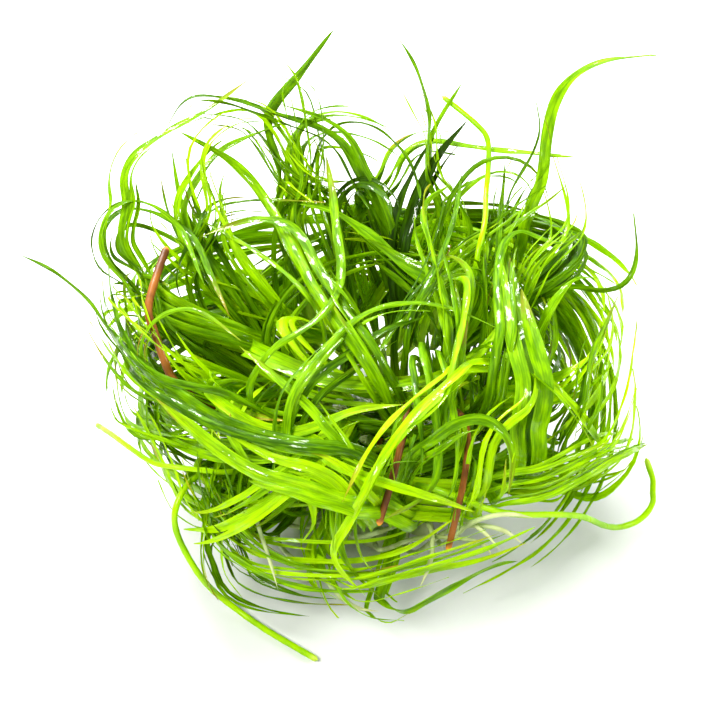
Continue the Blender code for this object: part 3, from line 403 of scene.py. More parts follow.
class CoarseNode:
    """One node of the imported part, with its corners joined, from which strands are read.

    Args:
        name: the node's name.
    """

    TIP_CONE = 0.90
    BLADE_DEPTH = 0.4

    def __init__(self, name: str) -> None:
        self.name = name
        source = frame["nodes"][name].data
        mesh = bmesh.new()
        mesh.from_mesh(source)
        bmesh.ops.remove_doubles(mesh, verts=mesh.verts, dist=WELD)
        mesh.verts.ensure_lookup_table()
        self.points = np.array([tuple(v.co) for v in mesh.verts], float)
        self.near = [{e.other_vert(v).index for e in v.link_edges} for v in mesh.verts]
        mesh.free()
        self.used: set[int] = set()

    def is_tip(self, corner: int, form: Form) -> bool:
        """Tells whether a corner is the point that a strand of this form ends in.

        Args:
            corner: the corner's number.
            form: the form looked for.

        Returns:
            True for a strand's tip.
        """
        near = list(self.near[corner])
        if len(near) != form.value:
            return False
        ways = unit(self.points[near] - self.points[corner])
        return bool((ways @ unit(ways.mean(axis=0))).min() > self.TIP_CONE)

    def rings_from(self, tip: int, form: Form) -> list[list[int]]:
        """Follows a strand's rings from its tip to its base.

        Args:
            tip: the tip's number.
            form: the strand's form.

        Returns:
            The corner numbers of each ring, from the tip on; the last may be a facet that it grows from.
        """
        seen = {tip}
        layer = {tip}
        rings = []
        while True:
            layer = self.beyond(layer, seen)
            seen |= layer
            if len(layer) != form.value:
                after = self.beyond(layer, seen)
                if len(after) != form.value:
                    if form is Form.LEAF and len(layer) == Form.STEM.value:
                        rings.append(sorted(layer))
                    return rings
                self.used |= layer
                seen |= after
                layer = after
            rings.append(sorted(layer))

    def beyond(self, layer: set[int], seen: set[int]) -> set[int]:
        """The corners next to a layer that haven't been seen yet."""
        return {other for corner in layer for other in self.near[corner]} - seen

    def strand_from(self, tip: int, form: Form) -> Strand:
        """Reads one strand.

        Args:
            tip: the tip's number.
            form: the strand's form.

        Returns:
            The strand, from its base to its tip.
        """
        rings = self.rings_from(tip, form)
        self.used.add(tip)
        whole = [ring for ring in rings if len(ring) == form.value]
        self.used.update(corner for ring in whole for corner in ring)
        read = [self.read_ring(self.points[ring], form) for ring in whole]
        centres = [self.points[tip]] + [ring[0] for ring in read]
        sides = [read[0][1]] + [ring[1] for ring in read]
        ups = [read[0][2]] + [ring[2] for ring in read]
        halves = [0.0] + [ring[3] for ring in read]
        if len(rings) > len(whole):
            centres.append(self.points[rings[-1]].mean(axis=0))
            sides.append(sides[-1])
            ups.append(ups[-1])
            halves.append(halves[-1])
        centres = np.array(centres)
        sides, ups = (self.turned_alike(np.array(ways), centres)[::-1] for ways in (sides, ups))
        return Strand(centres[::-1], sides, ups, np.array(halves)[::-1], form)

    @staticmethod
    def read_ring(corners: np.ndarray, form: Form) -> tuple[np.ndarray, np.ndarray, np.ndarray, float]:
        """Works out one ring's centre, way across, way up and half width.

        Args:
            corners: the ring's corner points.
            form: the strand's form.

        Returns:
            The centre, the unit vector across, the unit vector up and the half width.
        """
        if form is Form.STEM:
            centre = corners.mean(axis=0)
            side = unit(corners[0] - centre)
            far = max(corners[1:], key=lambda corner: abs(np.cross(side, corner - centre)).sum())
            half = np.linalg.norm(corners - centre, axis=1).mean()
            return centre, side, unit(far - centre), float(half)
        turns = (corners, np.roll(corners, -1, axis=0), np.roll(corners, -2, axis=0))
        first, second, keel = max(turns, key=lambda turn: np.linalg.norm(turn[0] - turn[1]))
        across = (first - second) / 2
        middle = (first + second) / 2
        depth = keel - middle
        centre = middle + depth * CoarseNode.BLADE_DEPTH
        return centre, unit(across), -unit(depth), float(np.linalg.norm(across))

    @staticmethod
    def turned_alike(ways: np.ndarray, centres: np.ndarray) -> np.ndarray:
        """Turns each ring's way across or up to run the same way as its neighbour's.

        Args:
            ways: the way at each ring.
            centres: the centre of each ring.

        Returns:
            The ways, continuous along the strand.
        """
        turned = ways.copy()
        for i, heading in enumerate(unit(np.gradient(centres, axis=0))[1:], 1):
            carried = turned[i - 1] - heading * (turned[i - 1] @ heading)
            if turned[i] @ carried < 0:
                turned[i] = -turned[i]
        return turned

    def strands(self) -> list[Strand]:
        """Reads every leaf and stem of the node."""
        places = [(corner, form) for form in Form for corner in range(len(self.points))]
        return [self.strand_from(corner, form) for corner, form in places if self.is_tip(corner, form)]

    def body(self) -> np.ndarray:
        """The corner points that belong to no strand."""
        return self.points[[corner for corner in range(len(self.points)) if corner not in self.used]]


class Tree:
    """A node tree under construction, with short ways to add and join nodes.

    Args:
        tree: the tree to fill.
    """

    def __init__(self, tree: bpy.types.NodeTree) -> None:
        self.tree = tree

    def add(self, kind: str, **settings: object) -> bpy.types.Node:
        """Adds a node.

        Args:
            kind: the node's type name.
            settings: its properties.

        Returns:
            The new node.
        """
        node = self.tree.nodes.new(kind)
        for name, value in settings.items():
            setattr(node, name, value)
        return node

    def made(self, kind: str, inputs: dict[str | int, object], **settings: object) -> Socket:
        """Adds a node with its inputs linked or set.

        Args:
            kind: the node's type name.
            inputs: each input's value by its name or number.
            settings: the node's properties.

        Returns:
            Its first output.
        """
        node = self.add(kind, **settings)
        for key, value in inputs.items():
            self.feed(node, key, value)
        return node.outputs[0]

    def feed(self, node: bpy.types.Node, key: str | int, value: object) -> None:
        """Links or sets one input of a node.

        Args:
            node: the node.
            key: the input's name or number.
            value: an output socket to link, or a plain value.
        """
        socket = node.inputs[key]
        if isinstance(value, Socket):
            self.tree.links.new(value, socket)
        else:
            socket.default_value = value

    def math(self, operation: str, *values: object) -> Socket:
        """Adds a Math node and returns its output."""
        return self.made("ShaderNodeMath", dict(enumerate(values)), operation=operation)

    def product(self, *values: object) -> Socket:
        """Multiplies two or more values."""
        return reduce(lambda so_far, value: self.math("MULTIPLY", so_far, value), values)

    def blend(self, share: object, first: object, second: object, kind: str = "MIX") -> Socket:
        """Adds a colour Mix node.

        Args:
            share: how much of the second colour.
            first: the first colour.
            second: the second colour.
            kind: the blend type.

        Returns:
            The mixed colour.
        """
        node = self.add("ShaderNodeMix", data_type="RGBA", blend_type=kind)
        for key, value in ((0, share), (6, first), (7, second)):
            self.feed(node, key, value)
        return node.outputs[2]

    def remap(self, value: object, low: float, high: float, to_low: float, to_high: float) -> Socket:
        """Adds a clamped Map Range node.

        Args:
            value: what is mapped.
            low: the value that becomes to_low.
            high: the value that becomes to_high.
            to_low: the lower result.
            to_high: the higher result.

        Returns:
            The mapped value.
        """
        names = ("Value", "From Min", "From Max", "To Min", "To Max")
        inputs = dict(zip(names, (value, low, high, to_low, to_high)))
        return self.made("ShaderNodeMapRange", inputs, interpolation_type="SMOOTHSTEP")


class RibbonTree:
    """The Geometry Nodes tree that sweeps a section along every guide line of a mesh."""

    INPUTS = (
        ("Rim Points", "NodeSocketInt"),
        ("Thickness", "NodeSocketFloat"),
        ("Channel", "NodeSocketFloat"),
        ("Wave Height", "NodeSocketFloat"),
        ("Wave Length", "NodeSocketFloat"),
        ("Crisp Margins", "NodeSocketFloat"),
        ("Material", "NodeSocketMaterial"),
    )
    MARGIN = 0.99
    FOLD_LEVEL = 0.35

    def __init__(self) -> None:
        self.group = bpy.data.node_groups.new("Swept strands", "GeometryNodeTree")
        self.tree = Tree(self.group)
        interface = self.group.interface
        interface.new_socket("Geometry", in_out="INPUT", socket_type="NodeSocketGeometry")
        for name, kind in self.INPUTS:
            interface.new_socket(name, in_out="INPUT", socket_type=kind)
        interface.new_socket("Geometry", in_out="OUTPUT", socket_type="NodeSocketGeometry")
        self.build()

    def named(self, name: str, kind: str = "FLOAT") -> Socket:
        """Adds a Named Attribute node.

        Args:
            name: the attribute's name.
            kind: its data type.

        Returns:
            The attribute's value.
        """
        node = self.tree.add("GeometryNodeInputNamedAttribute", data_type=kind)
        self.tree.feed(node, "Name", name)
        return next(socket for socket in node.outputs if socket.enabled and socket.name == "Attribute")

    def build(self) -> None:
        """Fills the tree: guide lines, swept section, folds and ripples, UV map, crisp margins, material."""
        tree = self.tree
        given = tree.add("NodeGroupInput").outputs
        half = self.named("half_width")
        line = tree.made("GeometryNodeMeshToCurve", {"Mesh": given["Geometry"]})
        faced = {"Curve": line, "Normal": self.named("side", "FLOAT_VECTOR")}
        line = tree.made("GeometryNodeSetCurveNormal", faced, mode="FREE")
        line = tree.made("GeometryNodeSetCurveRadius", {"Curve": line, "Radius": half})
        sweep = tree.add("GeometryNodeCurveToMesh")
        ways = {"Curve": line, "Profile Curve": self.section(given), "Fill Caps": True, "Scale": half}
        for name, value in ways.items():
            if name in sweep.inputs:
                tree.feed(sweep, name, value)
        lifted = {"Geometry": sweep.outputs[0], "Offset": self.lift(given)}
        shape = tree.made("GeometryNodeSetPosition", lifted)
        mapped = {"Geometry": shape, "Name": "UVMap", "Value": self.map_place()}
        shape = tree.made("GeometryNodeStoreNamedAttribute", mapped, data_type="FLOAT2", domain="CORNER")
        shape = tree.made("GeometryNodeSetShadeSmooth", {"Geometry": shape})
        margin = tree.math("GREATER_THAN", tree.math("ABSOLUTE", self.named("across")), self.MARGIN)
        crisp = tree.product(margin, given["Crisp Margins"])
        edged = {"Geometry": shape, "Selection": crisp, "Shade Smooth": False}
        shape = tree.made("GeometryNodeSetShadeSmooth", edged, domain="EDGE")
        shape = tree.made("GeometryNodeSetMaterial", {"Geometry": shape, "Material": given["Material"]})
        shape = tree.made("GeometryNodeRealizeInstances", {"Geometry": shape})
        tree.feed(tree.add("NodeGroupOutput"), 0, shape)

    def section(self, given: bpy.types.NodeInputs) -> Socket:
        """Adds the nodes of the flattened section.

        Args:
            given: the group's inputs.

        Returns:
            The section curve, with its place across stored.
        """
        tree = self.tree
        circle = {"Resolution": given["Rim Points"], "Radius": 1.0}
        rim = tree.made("GeometryNodeCurvePrimitiveCircle", circle, mode="RADIUS")
        place = tree.add("ShaderNodeSeparateXYZ")
        tree.feed(place, 0, tree.add("GeometryNodeInputPosition").outputs[0])
        across, height = place.outputs[0], place.outputs[1]
        flat = tree.made("ShaderNodeCombineXYZ", {0: across, 1: tree.product(height, given["Thickness"])})
        marked = {"Geometry": rim, "Name": "across", "Value": across}
        rim = tree.made("GeometryNodeStoreNamedAttribute", marked, data_type="FLOAT", domain="POINT")
        return tree.made("GeometryNodeSetPosition", {"Geometry": rim, "Position": flat})

    def lift(self, given: bpy.types.NodeInputs) -> Socket:
        """Adds the nodes that fold a blade into its channel and ripple its edges.

        Args:
            given: the group's inputs.

        Returns:
            The offset of each point.
        """
        tree = self.tree
        across = self.named("across")
        square = tree.product(across, across)
        level = tree.math("SUBTRACT", square, self.FOLD_LEVEL)
        fold = tree.product(self.named("half_width"), given["Channel"], level)
        turns = tree.math("DIVIDE", self.named("travelled"), given["Wave Length"])
        sine = tree.math("SINE", tree.product(tree.math("ADD", turns, self.named("tone")), math.tau))
        cube = tree.product(square, across)
        ripple = tree.product(sine, cube, given["Wave Height"], self.named("grown"))
        scaled = {0: self.named("up", "FLOAT_VECTOR"), "Scale": tree.math("ADD", fold, ripple)}
        return tree.made("ShaderNodeVectorMath", scaled, operation="SCALE")

    def map_place(self) -> Socket:
        """Adds the nodes that work out the UV place: across and along the strand."""
        half = self.tree.math("MULTIPLY_ADD", self.named("across"), 0.5, 0.5)
        return self.tree.made("ShaderNodeCombineXYZ", {0: half, 1: self.named("along")})

    def set_inputs(self, modifier: bpy.types.Modifier, values: tuple[object, ...]) -> None:
        """Sets the inputs of a modifier that uses this tree.

        Args:
            modifier: the modifier.
            values: the values, in the order of INPUTS.
        """
        named = dict(zip((name for name, _ in self.INPUTS), values))
        for item in self.group.interface.items_tree:
            if item.item_type == "SOCKET" and item.in_out == "INPUT" and item.name in named:
                modifier[item.identifier] = named[item.name]


@dataclass
class Look:
    """How one strand is drawn.

    Args:
        tone: 0 for the freshest green, 1 for the darkest.
        worn: how far its tip has turned yellow-brown.
    """

    tone: float
    worn: float


class Sweeper:
    """Turns strands into finished meshes, inside the part's box.

    Args:
        low: the box's lowest corner.
        high: the box's highest corner.
    """

    BLADE_LIFT = 0.5
    STEM_LIFT = 1.0
    BASE_LENGTH = 15 * MM

    def __init__(self, low: Vector, high: Vector) -> None:
        self.ribbons = RibbonTree()
        self.low = np.array(low) + BOX_MARGIN
        self.high = np.array(high) - BOX_MARGIN

    def guide(self, strands: list[Strand], looks: list[Look]) -> bpy.types.Object:
        """Makes the guide mesh: one line of points for each strand, with what the tree reads.

        Args:
            strands: the fine strands.
            looks: how each one is drawn.

        Returns:
            The guide object.
        """
        for strand in strands:
            self.draw_in(strand)
        counts = [len(strand.centres) for strand in strands]
        starts = np.concatenate(([0], np.cumsum(counts)))
        stretches = zip(starts[:-1], starts[1:] - 1)
        edges = [(i, i + 1) for first, last in stretches for i in range(first, last)]
        mesh = bpy.data.meshes.new("guide")
        mesh.from_pydata(np.vstack([strand.centres for strand in strands]).tolist(), edges, [])
        travelled = [strand.run() for strand in strands]
        columns = {
            "half_width": np.concatenate([strand.halves for strand in strands]),
            "travelled": np.concatenate(travelled),
            "along": np.concatenate([run / run[-1] for run in travelled]),
            "grown": np.concatenate([np.clip(run / self.BASE_LENGTH, 0, 1) for run in travelled]),
            "tone": np.repeat([look.tone for look in looks], counts),
            "worn": np.repeat([look.worn for look in looks], counts),
        }
        for name, values in columns.items():
            column = mesh.attributes.new(name, "FLOAT", "POINT")
            column.data.foreach_set("value", values.astype(np.float32))
        ways = {"side": [strand.sides for strand in strands], "up": [strand.ups for strand in strands]}
        for name, rows in ways.items():
            column = mesh.attributes.new(name, "FLOAT_VECTOR", "POINT")
            column.data.foreach_set("vector", np.vstack(rows).astype(np.float32).ravel())
        return placed("guide", mesh)

    def piece(
        self,
        name: str,
        strands: list[Strand],
        looks: list[Look],
        section: Section,
        finish: bpy.types.Material,
    ) -> bpy.types.Object:
        """Sweeps strands into one object.

        Args:
            name: the object's name.
            strands: the fine strands.
            looks: how each one is drawn.
            section: the cross section.
            finish: the material.

        Returns:
            The finished object.
        """
        guide = self.guide(strands, looks)
        modifier = guide.modifiers.new("Swept strands", "NODES")
        modifier.node_group = self.ribbons.group
        self.ribbons.set_inputs(modifier, (*astuple(section), finish))
        bpy.context.view_layer.update()
        graph = bpy.context.evaluated_depsgraph_get()
        swept = guide.evaluated_get(graph)
        mesh = bpy.data.meshes.new_from_object(swept, preserve_all_data_layers=True, depsgraph=graph)
        guide_mesh = guide.data
        bpy.data.objects.remove(guide)
        bpy.data.meshes.remove(guide_mesh)
        mesh.name = name
        self.keep_inside(mesh)
        return placed(name, mesh)

    def draw_in(self, strand: Strand) -> None:
        """Moves a strand's centre line so far in that its swept section stays in the part's box.

        Args:
            strand: the fine strand, which is changed.
        """
        lift = self.STEM_LIFT if strand.form is Form.STEM else self.BLADE_LIFT
        reach = (np.abs(strand.sides) + lift * np.abs(strand.ups)) * strand.halves[:, None]
        strand.centres = np.clip(strand.centres, self.low + reach, self.high - reach)

    def keep_inside(self, mesh: bpy.types.Mesh) -> None:
        """Pulls points that stick out of the part's box back to its side, and faces the mesh outwards.

        Args:
            mesh: the mesh to change.
        """
        points = np.empty(len(mesh.vertices) * 3, np.float32)
        mesh.vertices.foreach_get("co", points)
        points = np.clip(points.reshape(-1, 3), self.low, self.high)
        mesh.vertices.foreach_set("co", points.astype(np.float32).ravel())
        mesh.calc_loop_triangles()
        corners = np.empty(len(mesh.loop_triangles) * 3, np.int32)
        mesh.loop_triangles.foreach_get("vertices", corners)
        triangles = points.astype(float)[corners.reshape(-1, 3)]
        if np.linalg.det(triangles).sum() < 0:
            mesh.flip_normals()
        mesh.update()


class Finishes:
    """The procedural materials, each made once."""

    TONE_PACE = 90.0

    def __init__(self) -> None:
        self.blade = BladeGrain()
        self.rod = StemGrain()
        self.made = {
            finish.name: self.leaf(finish) if isinstance(finish, LeafFinish) else self.stem(finish)
            for finish in (BRIGHT_LEAF, DARK_AND_SHADED_LEAF, RUNNER_STEM, BROWN_STEM, PALE_CROWN, PALE_ROOT)
        }

    @staticmethod
    def start(name: str) -> tuple[bpy.types.Material, Tree, bpy.types.Node]:
        """Makes an empty material with its output node.

        Args:
            name: the material's name.

        Returns:
            The material, its tree and its output node.
        """
        material = bpy.data.materials.new("finish_" + name)
        material.use_nodes = True
        material.node_tree.nodes.clear()
        tree = Tree(material.node_tree)
        return material, tree, tree.add("ShaderNodeOutputMaterial")

    @staticmethod
    def noise(tree: Tree, scale: float, detail: float, stretch: Triple = (1, 1, 1)) -> Socket:
        """Adds a noise that follows the piece's own shape.

        Args:
            tree: the tree to add to.
            scale: the noise's scale.
            detail: the noise's detail.
            stretch: how much each axis is stretched.

        Returns:
            The noise value.
        """
        place = {"Vector": tree.add("ShaderNodeTexCoord").outputs["Object"], "Scale": stretch}
        inputs = {"Vector": tree.made("ShaderNodeMapping", place), "Scale": scale, "Detail": detail}
        return tree.made("ShaderNodeTexNoise", inputs)

    @staticmethod
    def strand_place(tree: Tree) -> tuple[Socket, Socket]:
        """Adds the nodes that give a point's place on its strand.

        Args:
            tree: the tree to add to.

        Returns:
            The place across, from 0 to 1, and the place along, from 0 at the base to 1 at the tip.
        """
        spread = tree.add("ShaderNodeSeparateXYZ")
        tree.feed(spread, 0, tree.add("ShaderNodeUVMap", uv_map="UVMap").outputs[0])
        return spread.outputs[0], spread.outputs[1]

    @staticmethod
    def own(tree: Tree, name: str) -> Socket:
        """Adds an Attribute node and returns its value."""
        return tree.add("ShaderNodeAttribute", attribute_name=name).outputs["Fac"]

    def streaked(self, tree: Tree, pace: Pair, detail: float) -> Socket:
        """Adds a noise that is drawn out along each blade and differs between blades.

        Args:
            tree: the tree to add to.
            pace: how fast it changes across the blade, and along it for each metre.
            detail: the noise's detail.

        Returns:
            The noise value.
        """
        across, _ = self.strand_place(tree)
        place = {
            0: tree.product(across, pace[0]),
            1: tree.product(self.own(tree, "travelled"), pace[1]),
            2: tree.product(self.own(tree, "tone"), self.TONE_PACE),
        }
        inputs = {"Vector": tree.made("ShaderNodeCombineXYZ", place), "Scale": 1.0, "Detail": detail}
        return tree.made("ShaderNodeTexNoise", inputs)

    def leaf(self, finish: LeafFinish) -> bpy.types.Material:
        """Makes a leaf material: tone ramp, pale base, worn tip, veins and a wet, see-through blade.

        Args:
            finish: the leaf's colours and gloss.

        Returns:
            The material.
        """
        material, tree, out = self.start(finish.name)
        grain = self.blade
        across, along = self.strand_place(tree)
        mottle = self.streaked(tree, grain.mottle, detail=3.0)
        shift = tree.remap(mottle, *grain.noise, -grain.mottle_depth, grain.mottle_depth)
        ramp = tree.add("ShaderNodeValToRGB")
        marks = ramp.color_ramp.elements
        while len(marks) < len(finish.ramp):
            marks.new(0.5)
        for i, colour in enumerate(finish.ramp):
            marks[i].position = i / (len(finish.ramp) - 1)
            marks[i].color = (*colour, 1)
        tree.feed(ramp, 0, tree.math("ADD", self.own(tree, "tone"), shift))
        from_middle = tree.math("ABSOLUTE", tree.math("SUBTRACT", across, 0.5))
        rib = tree.remap(from_middle, 0.0, grain.rib, 1.0, 0.0)
        veins = tree.math("SINE", tree.product(across, grain.veins))
        shade = tree.math("MULTIPLY_ADD", veins, grain.vein_depth, 1.0 - grain.vein_depth)
        shade = tree.math("SUBTRACT", shade, tree.product(rib, grain.rib_depth))
        grey = tree.made("ShaderNodeCombineColor", {i: shade for i in range(3)})
        colour = tree.blend(1.0, ramp.outputs[0], grey, "MULTIPLY")
        pale = tree.remap(along, 0.0, grain.base_reach, grain.base_share, 0.0)
        colour = tree.blend(pale, colour, (*finish.base, 1))
        ragged = tree.math("ADD", along, tree.remap(mottle, *grain.noise, -grain.ragged, grain.ragged))
        browned = tree.product(tree.remap(ragged, grain.worn_from, 1.0, 0.0, 1.0), self.own(tree, "worn"))
        colour = tree.blend(browned, colour, (*finish.tip, 1))
        relief = tree.math("MULTIPLY_ADD", veins, grain.vein_relief, tree.product(rib, -1.0))
        ripples = self.streaked(tree, grain.film_ripple, detail=1.0)
        film = self.streaked(tree, grain.film, detail=1.5)
        speckle = self.noise(tree, grain.speckle, detail=2.0)
        surface = {
            "Base Color": colour,
            "Roughness": self.varied(tree, speckle, grain.speckle_noise, finish.roughness, grain.spread),
            "Normal": self.bumped(tree, relief, strength=0.35, distance=grain.relief),
            "Coat Weight": tree.remap(film, *grain.film_edge, 0.0, finish.coat),
            "Coat Normal": self.bumped(tree, ripples, strength=0.55, distance=grain.ripple_relief),
            "Coat Roughness": 0.03,
            "Coat IOR": 1.45,
            "Specular IOR Level": 0.06,
        }
        warm = tree.blend(grain.glow_share, colour, (*grain.glow, 1), "SCREEN")
        self.end(tree, out, surface, warm, finish.through)
        return material

    @staticmethod
    def varied(tree: Tree, noise: Socket, limits: Pair, mean: float, spread: Pair) -> Socket:
        """A value that varies down and up from its mean as a noise runs between its limits."""
        return tree.remap(noise, *limits, mean - spread[0], mean + spread[1])

    @staticmethod
    def bumped(tree: Tree, height: Socket, strength: float, distance: float) -> Socket:
        """A normal bent by a height of the given distance."""
        return tree.made("ShaderNodeBump", {"Strength": strength, "Distance": distance, "Height": height})

    @staticmethod
    def end(
        tree: Tree, out: bpy.types.Node, surface: dict[str, object], tint: Socket, share: float
    ) -> None:
        """Ends a material's tree with its surface, which lets part of the light through.

        Args:
            tree: the tree to end.
            out: its output node.
            surface: the surface shader's inputs.
            tint: colour of the light that passes through.
            share: how much of it does.
        """
        shader = tree.made("ShaderNodeBsdfPrincipled", surface)
        glow = tree.made("ShaderNodeBsdfTranslucent", {"Color": tint})
        tree.feed(out, "Surface", tree.made("ShaderNodeMixShader", {0: share, 1: shader, 2: glow}))


    def stem(self, finish: StemFinish) -> bpy.types.Material:
        """Makes a stalk, crown or root material: streaks along it and a different end.

        Args:
            finish: its colours and gloss.

        Returns:
            The material.
        """
        material, tree, out = self.start(finish.name)
        grain = self.rod
        _, along = self.strand_place(tree)
        fine = self.noise(tree, grain.fine, detail=4.0, stretch=grain.stretch)
        broad = self.noise(tree, grain.broad, detail=2.0)
        fine_share = tree.product(fine, 1.0 - grain.broad_share)
        both = tree.math("MULTIPLY_ADD", broad, grain.broad_share, fine_share)
        streaks = tree.remap(both, *grain.edge, 0, 1)
        colour = tree.blend(streaks, (*finish.skin, 1), (*finish.streak, 1))
        if finish.grain is Grain.ROOT:
            ended = tree.remap(along, grain.tip_from, 1.0, 0.0, grain.tip_share)
        else:
            ended = tree.remap(along, *grain.cut, 0.0, 1.0)
        colour = tree.blend(ended, colour, (*finish.cut, 1))
        surface = {
            "Base Color": colour,
            "Roughness": self.varied(tree, fine, grain.noise, finish.roughness, grain.spread),
            "Normal": self.bumped(tree, fine, strength=0.4, distance=grain.relief),
            "Coat Weight": 0.08,
            "Coat Roughness": 0.1,
            "Specular IOR Level": 0.2,
        }
        self.end(tree, out, surface, colour, finish.through)
        return material

    def get(self, slot: str) -> bpy.types.Material:
        """The material of a slot."""
        return self.made[slot]


def settle(piece: bpy.types.Object, slot: str, *nodes: str) -> None:
    """Ties a finished piece to the part and reports it.

    Args:
        piece: the finished object.
        slot: the material slot it takes its finish from.
        nodes: the part's nodes that it stands for.
    """
    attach(piece, "root")
    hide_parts(*nodes)
    piece.data.calc_loop_triangles()
    log.info("%s: %d triangles, slot %s", piece.name, len(piece.data.loop_triangles), slot)


@dataclass(frozen=True)
class BladeSizes:
    """Sizes of the fine blades.

    Args:
        step: spacing of points along a long leaf.
        small_step: spacing of points along a short leaf.
        point: length over which a blade narrows to its tip.
        bluntness: how soon it narrows: 1 for a straight point, less for a rounder one.
        base: length over which it widens from its base.
        base_width: its least and greatest width there, as a share of its width.
        least: the least half width.
    """

    step: float = 1.2 * MM
    small_step: float = 1.8 * MM
    point: float = 14 * MM
    bluntness: float = 0.62
    base: float = 10 * MM
    base_width: Pair = (0.4, 0.95)
    least: float = 0.06 * MM


def pointed(strand: Strand, sizes: BladeSizes) -> Strand:
    """Gives a leaf a slender pointed tip and a rounded, sheathing base.

    Args:
        strand: the fine leaf.
        sizes: the blade sizes.

    Returns:
        The same leaf with its outline changed.
    """
    run = strand.run()
    left = run[-1] - run
    taper = np.clip(left / min(sizes.point, 0.5 * run[-1]), 0, 1) ** sizes.bluntness
    full = np.maximum(strand.halves, np.median(strand.halves) * np.clip(run / sizes.base, *sizes.base_width))
    strand.halves = np.maximum(full * taper, sizes.least)
    return strand


@dataclass(frozen=True)
class TuftSizes:
    """How one leaf of the part becomes a bundle of leaves.

    Args:
        companions: leaves beside each one read from the part.
        spread: how far a companion strays from it.
        shortest: the shortest companion, as a share of its length.
        longest: the longest one.
        nearest: the least that one strays, as a share of the spread.
        swing: how far a companion turns round the leaf on its way, either way.
        facing: how far its blade is turned from the leaf's, either way.
        facing_swing: how far that changes on its way, either way.
        narrow: the narrowest and widest companion, as a share of the leaf's width.
        leave: how soon it reaches its distance from the leaf.
    """

    companions: int
    spread: float
    shortest: float
    longest: float
    nearest: float = 0.45
    swing: float = 2.5
    facing: float = 0.9
    facing_swing: float = 0.8
    narrow: Pair = (0.45, 0.95)
    leave: float = 2.2


SHORT_TUFT = TuftSizes(5, 3.2 * MM, 0.5, 1.0)
WALL_TUFT = TuftSizes(9, 3.8 * MM, 0.6, 1.0)
LONG_BUNDLE = TuftSizes(4, 3.2 * MM, 0.35, 0.95)
SHEATH_TUFT = TuftSizes(7, 1.9 * MM, 0.8, 1.0)
LOW_HEIGHT = 15 * MM
WALL_RADIUS = 38 * MM
WEAR_POWER = 6


def tuft_for(strand: Strand) -> TuftSizes:
    """Picks the tuft that a short leaf grows in: fuller in the nest's wall and near the floor.

    Args:
        strand: the fine leaf.

    Returns:
        The tuft's sizes.
    """
    outer = strand.centres[len(strand.centres) // 2 :]
    low = outer[:, 2].mean() < LOW_HEIGHT
    wall = np.hypot(outer[:, 0], outer[:, 1]).mean() > WALL_RADIUS
    return WALL_TUFT if low or wall else SHORT_TUFT


def companion_of(strand: Strand, tuft: TuftSizes, rng: np.random.Generator) -> Strand:
    """Makes a leaf that grows beside another and stays near it.

    Args:
        strand: the fine leaf it grows beside.
        tuft: how far it strays and how long it gets.
        rng: the random generator.

    Returns:
        The new leaf.
    """
    count = max(LEAST_POINTS, int(len(strand.centres) * rng.uniform(tuft.shortest, tuft.longest)))
    centres, sides, ups = strand.centres[:count], strand.sides[:count], strand.ups[:count]
    share = np.linspace(0, 1, count)[:, None]
    spread = tuft.spread * rng.uniform(tuft.nearest, 1.0)
    angle = rng.uniform(0, math.tau) + share * rng.uniform(-tuft.swing, tuft.swing)
    out = np.cos(angle) * sides + np.sin(angle) * ups
    stray = np.sin(np.clip(share * tuft.leave, 0, math.pi / 2)) * spread
    facing = rng.uniform(-tuft.facing, tuft.facing)
    turned = facing + share * rng.uniform(-tuft.facing_swing, tuft.facing_swing)
    new_sides = np.cos(turned) * sides + np.sin(turned) * ups
    new_ups = np.cos(turned) * ups - np.sin(turned) * sides
    width = strand.halves[:count] * rng.uniform(*tuft.narrow)
    return Strand(centres + out * stray, new_sides, new_ups, width, Form.LEAF)


def look_near(tone: float, spread: float, rng: np.random.Generator) -> Look:
    """Draws the look of a leaf whose tone is near a given one.

    Args:
        tone: the given tone.
        spread: how far the leaf's own tone may be from it.
        rng: the random generator.

    Returns:
        The look.
    """
    near = min(max(tone + float(rng.uniform(-spread, spread)), 0.0), 1.0)
    return Look(near, float(rng.uniform(0, 1) ** WEAR_POWER))


@dataclass
class Assembly:
    """A sub-assembly of the nest.

    Args:
        sweeper: makes the meshes.
        finishes: the materials.
        slots: each node's material slot.
        blades: the sizes of the fine blades.
    """

    sweeper: Sweeper
    finishes: Finishes
    slots: dict[str, str]
    blades: BladeSizes

    def nodes(self, *starts: str) -> list[str]:
        """The names of the nodes that start in one of these ways, in order."""
        return sorted(name for name in self.slots if name.startswith(starts))

    def add(
        self, node: str, ending: str, strands: list[Strand], looks: list[Look], section: Section, slot: str
    ) -> None:
        """Adds a finished piece that stands for a node.

        Args:
            node: the node's name.
            ending: what the piece's name adds to it.
            strands: the fine strands.
            looks: how each one is drawn.
            section: the cross section.
            slot: the material slot.
        """
        piece = self.sweeper.piece(node + ending, strands, looks, section, self.finishes.get(slot))
        settle(piece, slot, node)


